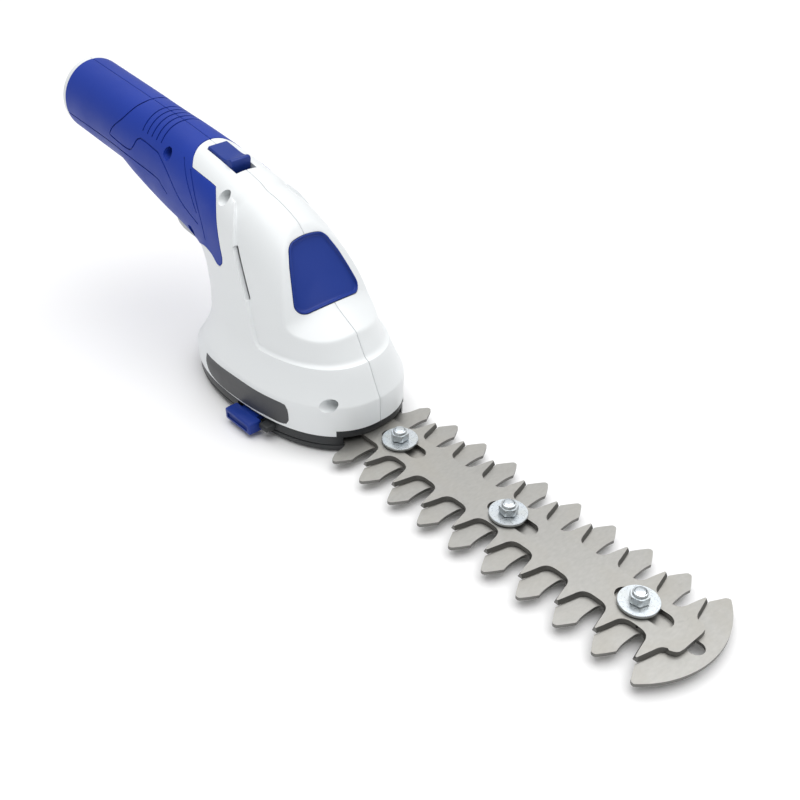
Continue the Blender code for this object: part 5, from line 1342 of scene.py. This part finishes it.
class OBJECT_OT_shears_base(bpy.types.Operator):
    """Make the black base rim with its front lip, and the blade carrier under it"""

    bl_idname = "object.shears_base"
    bl_label = "Base and blade carrier"

    def execute(self, context):
        self.rim()
        self.carrier()
        return {"FINISHED"}

    def rim(self):
        """The rim and lip are rounded; the deck and posts inside follow the solid model."""
        rim = link("rim_draft", base_stack(RIM_LAYERS))
        lip = link("lip_draft", base_stack(LIP_LAYERS))
        limit = link("lip_limit", box((LIP_X[0], -LIP_HALF, 0.0), (LIP_X[1], LIP_HALF, 20.0)))
        combine(lip, limit, "INTERSECT")
        plug = link("plug", self.plug())
        hole = turned((0.0, 0.0, 10.0), ((0.0, CRANK_HOLE_R), (12.0, CRANK_HOLE_R)), 64)
        cuts = [link("channel", box(*BLADE_CHANNEL)), link("room", box(*YOKE_ROOM)), link("hole", hole)]
        combine(rim, plug, "UNION")
        combine(rim, lip, "UNION")
        posts = []
        for side, tag in SIDES:
            guard = round_edges(side_box(side, *GUARD_BOX), 1.2, 40.0, 3)
            posts.append(link(f"guard_{tag}", guard))
        posts.append(link("thrust", ring_piece((0.0, 0.0, DECK_TOP_Z), THRUST_RING, 64)))
        bore_z, bore_r = POST_BORE
        for k, (x, y) in enumerate(POST_PLACES):
            post = turned((x, y, DECK_TOP_Z), ((0.0, POST_R), (POST_HEIGHT, POST_R)), 32)
            posts.append(link(f"post_{k}", post))
            cuts.append(link(f"post_bore_{k}", turned((x, y, bore_z), ((0.0, bore_r), (9.0, bore_r)), 24)))
        for post in posts:
            combine(rim, post, "UNION")
        for side, tag in SIDES:
            cuts.append(link(f"pocket_{tag}", latch_room(side, (20.5, 50.0), (0.0, 8.5))))
        x, z = SCREW_PLACES["front"]
        cuts.append(link("boss_notch", turned((x, -40.0, z), ((0.0, 4.4), (80.0, 4.4)), 32, "Y")))
        for cut in cuts:
            combine(rim, cut)
        made = bake("base_rim", rim, BLACK, 34.0, (lip, limit, plug, *posts, *cuts))
        ride(made, "housing", BLACK, "base_plate")

    def plug(self):
        """The deck that fills the shell's foot."""
        rings = []
        for z, inset, ahead in DECK_LAYERS:
            ring = []
            for x, y in base_outline(inset, 96):
                share = smooth_step(-30.0, -74.0, x) if x < -30.0 else 0.0
                ring.append((x + ahead * share, y * (1 - 0.03 * share * (ahead > 0)), z))
            rings.append(ring)
        return skin(bmesh.new(), rings)

    def carrier(self):
        carrier = link("carrier_draft", base_stack(CARRIER_LAYERS))
        tools = []
        for side, tag in SIDES:
            tools.append(link(f"notch_{tag}", latch_room(side, (30.3, 50.0), (-1.0, 6.0))))
        rivets = bmesh.new()
        for x, y in RIVET_PLACES:
            add_prism(rivets, circle(x, y, RIVET_R, 24), 1.2, 6.0)
        tools.append(link("carrier_holes", rivets))
        for tool in tools:
            combine(carrier, tool)
        made = bake("sole_carrier", carrier, BLACK, 34.0, tools)
        ride(made, "housing", BLACK, "blade_carrier")


class OBJECT_OT_shears_latches(bpy.types.Operator):
    """Make the two release latches"""

    bl_idname = "object.shears_latches"
    bl_label = "Release latches"

    def execute(self, context):
        for side, tag in SIDES:
            button = link("latch_draft", round_edges(side_box(side, *LATCH_TAB), 0.9, 40.0, 3))
            stem = link("latch_stem", side_box(side, *LATCH_STEM))
            dish = link("latch_dish", round_edges(side_box(side, *LATCH_DISH), 0.5, 40.0, 2))
            combine(button, stem, "UNION")
            combine(button, dish)
            made = bake(f"latch_tab_{tag}", button, BLUE, 34.0, (stem, dish))
            ride(made, f"latch_button_{tag}", BLUE, f"latch_{tag}")
        return {"FINISHED"}


# Blades

def comb_centre(k):
    return FIRST_SHOULDER_X + PITCH * k - COMB_LAG


def mirrored(left):
    return [*left, *[(-x, y) for x, y in reversed(left)]]


def comb_tooth_line():
    """Half outline of one comb cell about its tooth, from mid gap to mid gap."""
    return mirrored([*smooth_line(COMB_FLANK, 0.8), *COMB_TIP])


def cutter_tooth_line(bevel):
    """Half outline of one cutter cell about its tooth, at its foot or at the ground edge (share 0 to 1)."""
    foot = smooth_line(CUTTER_FLANK, 0.7)
    edge = smooth_line(CUTTER_EDGE, 0.7, CUTTER_FLANK)
    return mirrored([tuple(Vector(a).lerp(Vector(b), bevel)) for a, b in zip(foot, edge)])


def cell_mesh(name, layers):
    """One cell of a toothed plate, open at both ends; layers are (z, half outline)."""
    bm = bmesh.new()
    rows = []
    for z, line in layers:
        upper = [bm.verts.new((x, y, z)) for x, y in line]
        lower = [bm.verts.new((x, -y, z)) for x, y in line]
        rows.append((upper, lower))
    for (up_a, low_a), (up_b, low_b) in zip(rows, rows[1:]):
        for k in range(len(up_a) - 1):
            bm.faces.new((up_a[k], up_a[k + 1], up_b[k + 1], up_b[k]))
            bm.faces.new((low_a[k + 1], low_a[k], low_b[k], low_b[k + 1]))
    for upper, lower in (rows[0], rows[-1]):
        bm.faces.new([*upper, *reversed(lower)])
    return as_object(name, bm)


def closed_plate(name, source, *drop):
    """Evaluate a toothed plate and make it one closed body that faces outwards."""
    made = plain_mesh(name, source, *drop)
    bm = bmesh.new()
    bm.from_mesh(made.data)
    bmesh.ops.remove_doubles(bm, verts=bm.verts, dist=MERGE_DISTANCE * MM)
    face_outwards(bm)
    bm.to_mesh(made.data)
    bm.free()
    return made


def slot_line(rear, front, half, steps=14):
    outline = []
    for k in range(steps + 1):
        angle = -math.pi / 2 + math.pi * k / steps
        outline.append((front - half + half * math.cos(angle), half * math.sin(angle)))
    for k in range(steps + 1):
        angle = math.pi / 2 + math.pi * k / steps
        outline.append((rear + half + half * math.cos(angle), half * math.sin(angle)))
    return outline


def end_piece(bm, layers):
    """A plate end whose outline starts and finishes on a cell's open edge."""
    rows = []
    for z, line in layers:
        points = [*line, *[(x, -y) for x, y in reversed(line) if abs(y) > 1e-6]]
        rows.append([bm.verts.new((x, y, z)) for x, y in points])
    for low, high in zip(rows, rows[1:]):
        for k in range(len(low) - 1):
            bm.faces.new((low[k], low[k + 1], high[k + 1], high[k]))
    bm.faces.new(rows[0])
    bm.faces.new(rows[-1])


class OBJECT_OT_shears_blades(bpy.types.Operator):
    """Make the fixed comb and the sliding cutter from repeated tooth cells"""

    bl_idname = "object.shears_blades"
    bl_label = "Comb and cutter"

    def execute(self, context):
        tree = repeat_tree("toothed_plate")
        self.comb(tree)
        self.cutter(tree, context.scene.shears_sizes.tooth_bevel)
        return {"FINISHED"}

    def plate(self, tree, name, layers, first, ends, holes, smooth):
        """Repeat a cell between two ends, make them one body and cut its holes."""
        cell = cell_mesh(f"{name}_cell", layers)
        bm = bmesh.new()
        for end in ends:
            end_piece(bm, end)
        parts = with_tree(link(f"{name}_ends", bm), tree, Cell=cell, Count=TEETH - 1, First=first * MM,
                          Pitch=PITCH * MM, Finish=finish_material(BLADE))
        plate = closed_plate(f"{name}_plate", parts, cell)
        bm = bmesh.new()
        for outline in holes:
            add_prism(bm, outline, layers[0][0] - 2, layers[-1][0] + 2)
        tool = link(f"{name}_holes", bm)
        return bake(name, combine(plate, tool), BLADE, smooth, (tool,))

    def comb(self, tree):
        line = comb_tooth_line()
        rear = comb_centre(1)
        tail = [(rear - x, y) for x, y in line[:len(line) // 2]]
        tail += [(rear + x, y) for x, y in reversed(COMB_TIP)]
        tail += [(rear - 4.0, 20.3), (rear - 5.5, 16.7), (-24.0, 16.7), (-27.0, 13.7)]
        layers, *ends = [[(z, outline) for z in COMB_Z] for outline in (line, tail, self.nose())]
        holes = [circle(x, 0.0, BOLT_HOLE_R, 32) for x in BOLT_XS]
        holes += [circle(x, y, RIVET_R, 24) for x, y in RIVET_PLACES]
        holes.append(slot_line(*COMB_SLOT))
        made = self.plate(tree, "comb", layers, comb_centre(2), ends, holes, 30.0)
        ride(made, "housing", BLADE, "comb_blade")

    def nose(self):
        """Crescent front end of the comb, from the last cell's edge."""
        wing = comb_centre(TEETH + 1)
        rise = [(wing + x, y) for x, y in smooth_line(COMB_FLANK, 0.8)]
        start = math.asin(NOSE_WING_Y / NOSE_RADIUS)
        centre = NOSE_X - NOSE_RADIUS
        arc = [(centre + NOSE_RADIUS * math.cos(start * (1 - k / 20)),
                NOSE_RADIUS * math.sin(start * (1 - k / 20))) for k in range(21)]
        return [*rise, (wing - 1.9, 28.2), (wing - 0.9, 28.9), *arc]

    def cutter(self, tree, bevel):
        low, high = CUTTER_Z
        first = FIRST_SHOULDER_X + PITCH * 2 - CUTTER_LAG
        last = first + PITCH * (TEETH - 1)
        edge = first - PITCH / 2
        cell, tail, nose = [], [], []
        for z, drawn in ((low, 0.0), (low + CUTTER_LAND, 0.0), (high, bevel)):
            tooth = cutter_tooth_line(drawn)
            root = 9.0 - 0.1 * drawn
            flank = [(last + x, y) for x, y in tooth if x < 5.2]
            cell.append((z, tooth))
            tail.append((z, [(edge, root), (-6.5, root), (-9.0, root - 2.5)]))
            nose.append((z, [*flank, (last + 5.9, 9.8), (last + 7.2, 9.2), (last + 8.2, 8.5),
                             (last + 8.9 - 0.1 * drawn, 7.5), (last + 9.2 - 0.1 * drawn, 5.4)]))
        length, half = CUTTER_SLOT
        fronts = [x + CUTTER_SLOT_FRONT for x in BOLT_XS]
        holes = [slot_line(front - length, front, half) for front in fronts]
        holes += [circle(x, 0.0, RIVET_R, 24) for x in YOKE_RIVETS]
        made = self.plate(tree, "cutter", cell, first, (tail, nose), holes, 24.0)
        ride(made, "cutter", BLADE, "cutter_blade")


class OBJECT_OT_shears_bolts(bpy.types.Operator):
    """Make the three bolts with their sleeves, washers and collar nuts"""

    bl_idname = "object.shears_bolts"
    bl_label = "Blade bolts"

    def execute(self, context):
        sizes = context.scene.shears_sizes
        tree = points_tree("blade_stacks")
        sleeve = ((2.3, 0.0), (3.7, 0.0), (3.7, 2.2), (2.3, 2.2))
        washer = ((2.3, 0.0), (7.85, 0.0), (8.0, 0.15), (8.0, 1.05), (7.85, 1.2), (2.5, 1.2), (2.3, 1.0))
        kinds = {
            "bolt": (self.bolt(sizes.thread_turns), ZINC),
            "sleeve": (ring_piece((0, 0, 6.3), sleeve), STEEL),
            "washer": (ring_piece((0, 0, 8.8), washer, 72), ZINC),
            "nut": (self.nut(sizes.nut_flats), ZINC),
        }
        for kind, (bm, slot_name) in kinds.items():
            part = link(f"{kind}_part", bm)
            holder = place_points(f"{kind}_places", [(x, 0.0, 0.0) for x in BOLT_XS])
            with_tree(holder, tree, Part=part, Turn_each=0.37 if kind == "nut" else 0.0,
                      Finish=finish_material(slot_name))
            made = bake(f"blade_{kind}s", holder, slot_name, 34.0, (part,))
            ride(made, "housing", slot_name, *[f"blade_{kind}_{tag}" for tag in ("rear", "middle", "front")])
        return {"FINISHED"}

    def bolt(self, turns):
        """Low head under the comb, plain shank and a few turns of thread at the top."""
        steps = [(1.8, 3.2), (2.0, 3.6), (2.4, 3.85), (4.1, 3.9), (4.2, 3.8), (4.2, 2.0), (14.2, 2.0)]
        for k in range(turns):
            steps += [(14.3 + k * 0.14, 2.0), (14.37 + k * 0.14, 1.82)]
        steps += [(14.3 + turns * 0.14, 1.95), (14.95, 1.55), (15.0, 1.0)]
        return turned((0.0, 0.0, 0.0), steps, 40)

    def nut(self, flats):
        """Hexagon with chamfered corners and a round locking collar, bored through."""
        corner = flats / math.sqrt(3)
        sides = 48
        rows = ((10.3, 0.94, 0.0), (10.55, 1.0, 0.0), (13.0, 1.0, 0.0), (13.5, 0.93, 0.0), (13.5, 0.0, 2.95),
                (14.3, 0.0, 2.9), (14.65, 0.0, 2.65), (14.75, 0.0, 2.3), (14.6, 0.0, 2.16), (10.3, 0.0, 2.16))
        bm = bmesh.new()
        loops = []
        for z, share, radius in rows:
            ring = []
            for k in range(sides):
                angle = math.tau * k / sides
                reach = radius or self.hexagon(angle, corner, share)
                ring.append(bm.verts.new((reach * math.cos(angle), reach * math.sin(angle), z)))
            loops.append(ring)
        return closed_loops(bm, loops)

    def hexagon(self, angle, corner, share):
        """Distance to a hexagon's side, with its corners cut round by a share."""
        local = (angle + math.pi / 6) % (math.pi / 3) - math.pi / 6
        flat = corner * math.cos(math.pi / 6) / math.cos(local)
        return min(flat, corner * share)


class OBJECT_OT_shears_screws(bpy.types.Operator):
    """Make the housing screws deep in their counterbores"""

    bl_idname = "object.shears_screws"
    bl_label = "Housing screws"

    def execute(self, context):
        tree = points_tree("screw_places")
        steps = [(-5.5, 1.0), (-5.45, 1.7), (-5.1, 2.3), (-4.6, 2.58), (-3.35, 2.6), (-3.3, 1.5), (9.0, 1.5)]
        body = link("screw_body", turned((0.0, 0.0, 0.0), steps, 32, "Y"))
        arm, half = 1.5, 0.28
        quarter = [(arm, -half), (arm, half), (half, half)]
        cross = []
        for _ in range(4):
            cross += quarter
            quarter = [(-b, a) for a, b in quarter]
        recess = link("screw_recess", prism(cross, -7.0, -4.4, "Y"))
        part = plain_mesh("screw_part", combine(body, recess), recess)
        holder = place_points("screw_places", [(x, 0.0, z) for x, z in SCREW_PLACES.values()])
        with_tree(holder, tree, Part=part, Turn_each=0.0, Finish=finish_material(STEEL))
        made = bake("housing_screws", holder, STEEL, 34.0, (part,))
        ride(made, "housing", STEEL, *[f"housing_screw_{key}" for key in SCREW_PLACES])
        return {"FINISHED"}


class OBJECT_OT_shears_rear(bpy.types.Operator):
    """Make the charge socket and its light in the handle's rear end"""

    bl_idname = "object.shears_rear"
    bl_label = "Charge socket and light"

    def execute(self, context):
        profile = ((3.4, -3.9), (3.4, 0.2), (3.2, 0.4), (2.5, 0.4), (2.3, 0.2), (2.25, -2.0), (0.9, -2.0),
                   (0.85, -0.8), (0.5, -0.6))
        socket = add_rear_round(bmesh.new(), profile, SOCKET_UP, 0.0, 40)
        ride(link("socket_ring", socket, BLACK, 34.0), "housing", BLACK, "charge_socket")
        profile = ((2.4, -3.9), (2.4, 0.1), (2.2, 0.35), (1.6, 0.5), (0.7, 0.55))
        light = add_rear_round(bmesh.new(), profile, LIGHT_UP, LIGHT_ACROSS, 32)
        ride(link("light_pipe", light, "lens", 34.0), "housing", "lens", "charge_lens")
        return {"FINISHED"}


class OBJECT_OT_shears_label(bpy.types.Operator):
    """Make the dark film on the right side"""

    bl_idname = "object.shears_label"
    bl_label = "Label field"

    OUTLINE = ((-43.5, 19.7), (-17.0, 21.8), (0.4, 22.1), (11.9, 22.3), (17.8, 21.9), (18.9, 19.6),
               (17.8, 11.5), (4.8, 10.9), (-11.7, 10.3), (-31.4, 10.1), (-41.2, 12.4))

    def execute(self, context):
        film = link("label_draft", whole_form(-0.12, sides=200, pitch=3.0))
        core = link("label_core", whole_form(0.12, sides=200, pitch=3.0))
        outline = smooth_line([*self.OUTLINE, self.OUTLINE[0]], 2.5)[:-1]
        region = link("label_region", prism(outline, -50.0, -10.0, "Y"))
        combine(film, region, "INTERSECT")
        combine(film, core)
        made = bake("label_film", film, "label", 34.0, (core, region))
        ride(made, "housing", BLACK)
        return {"FINISHED"}


class OBJECT_OT_shears_frame_finishes(bpy.types.Operator):
    """Give every remaining node of the frame its finish"""

    bl_idname = "object.shears_frame_finishes"
    bl_label = "Finishes of the frame"

    def execute(self, context):
        slots = {part["node"]: part["material_slot"] for part in frame["record"]["subparts"]}
        for name, node in frame["nodes"].items():
            for place in node.material_slots:
                place.link = "OBJECT"
                place.material = finish_material(slots[name])
        return {"FINISHED"}


# Stage

CAMERA_PLACE = (0.32868, -0.24390, 0.29105)
CAMERA_YAW = math.radians(137.98)
CAMERA_PITCH = math.radians(35.56)
CAMERA_LENS = 47.14
WORLD_STRENGTH = 0.42
FLOOR_REACH = 4000.0
FLOOR_Z = -0.05
# Area lamps: name, place and size in metres, power in watts
LAMPS = (
    ("top", (0.1, 0.15, 2.2), 3.0, 62.0),
    ("key", (0.9, 0.9, 1.1), 1.2, 1.0),
    ("back", (-1.3, 1.0, 1.0), 1.4, 2.0),
)
LAMP_TARGET = Vector((0.0, 0.0, 0.05))


class OBJECT_OT_shears_stage(bpy.types.Operator):
    """Set the pale floor, the soft lights and the camera"""

    bl_idname = "object.shears_stage"
    bl_label = "Stage"

    def execute(self, context):
        self.floor()
        self.lights()
        self.camera()
        return {"FINISHED"}

    def floor(self):
        bm = bmesh.new()
        corners = box_outline(-FLOOR_REACH, -FLOOR_REACH, FLOOR_REACH, FLOOR_REACH)
        bm.faces.new([bm.verts.new((x, y, FLOOR_Z)) for x, y in corners])
        floor = link("floor", bm)
        made = Finish("floor_finish")
        cloud = made.ramp(made.noise(3.0, 2.0), 0.0, 1.0)
        floor.data.materials.append(made.shade(
            Base_Color=made.mix(cloud, (0.90, 0.90, 0.905), (0.93, 0.93, 0.93)),
            Roughness=0.6, Specular_IOR_Level=0.2))

    def lights(self):
        world = bpy.data.worlds.new("studio")
        bpy.context.scene.world = world
        world.use_nodes = True
        background = world.node_tree.nodes["Background"].inputs
        background["Color"].default_value = (1.0, 1.0, 1.0, 1.0)
        background["Strength"].default_value = WORLD_STRENGTH
        bpy.context.scene.view_settings.view_transform = "Standard"
        for name, place, size, power in LAMPS:
            lamp = bpy.data.lights.new(name, "AREA")
            lamp.size = size
            lamp.energy = power
            self.aim(show(name, lamp), place, LAMP_TARGET - Vector(place))

    def aim(self, made, place, ahead):
        made.location = place
        made.rotation_euler = ahead.to_track_quat("-Z", "Y").to_euler()

    def camera(self):
        lens = bpy.data.cameras.new("view")
        lens.sensor_width = 36.0
        lens.lens = CAMERA_LENS
        lens.clip_start = 0.01
        made = show("view", lens)
        ahead = Vector((math.cos(CAMERA_YAW) * math.cos(CAMERA_PITCH),
                        math.sin(CAMERA_YAW) * math.cos(CAMERA_PITCH), -math.sin(CAMERA_PITCH)))
        self.aim(made, CAMERA_PLACE, ahead)
        bpy.context.scene.camera = made


class VIEW3D_PT_shears(bpy.types.Panel):
    """Lists the steps that build the shears"""

    bl_idname = "VIEW3D_PT_shears"
    bl_label = "Shrub shears"
    bl_space_type = "VIEW_3D"
    bl_region_type = "UI"
    bl_category = "Shears"

    def draw(self, context):
        for group in (context.scene.shears_colours, context.scene.shears_sizes):
            for key in group.bl_rna.properties.keys():
                if key not in {"rna_type", "name"}:
                    self.layout.prop(group, key)
        for operator in OPERATORS:
            self.layout.operator(operator.bl_idname)


OPERATORS = (
    OBJECT_OT_shears_frame_finishes,
    OBJECT_OT_shears_housing,
    OBJECT_OT_shears_grips,
    OBJECT_OT_shears_window,
    OBJECT_OT_shears_slider,
    OBJECT_OT_shears_trigger,
    OBJECT_OT_shears_base,
    OBJECT_OT_shears_latches,
    OBJECT_OT_shears_blades,
    OBJECT_OT_shears_bolts,
    OBJECT_OT_shears_screws,
    OBJECT_OT_shears_rear,
    OBJECT_OT_shears_label,
    OBJECT_OT_shears_stage,
)
CLASSES = (ShearsColours, ShearsSizes, *OPERATORS, VIEW3D_PT_shears)


def register():
    for item in CLASSES:
        bpy.utils.register_class(item)
    bpy.types.Scene.shears_colours = PointerProperty(type=ShearsColours)
    bpy.types.Scene.shears_sizes = PointerProperty(type=ShearsSizes)


def unregister():
    del bpy.types.Scene.shears_colours
    del bpy.types.Scene.shears_sizes
    for item in reversed(CLASSES):
        bpy.utils.unregister_class(item)


def main():
    register()
    for operator in OPERATORS:
        getattr(bpy.ops.object, operator.bl_idname.split(".")[1])()


if __name__ == "__main__":
    main()
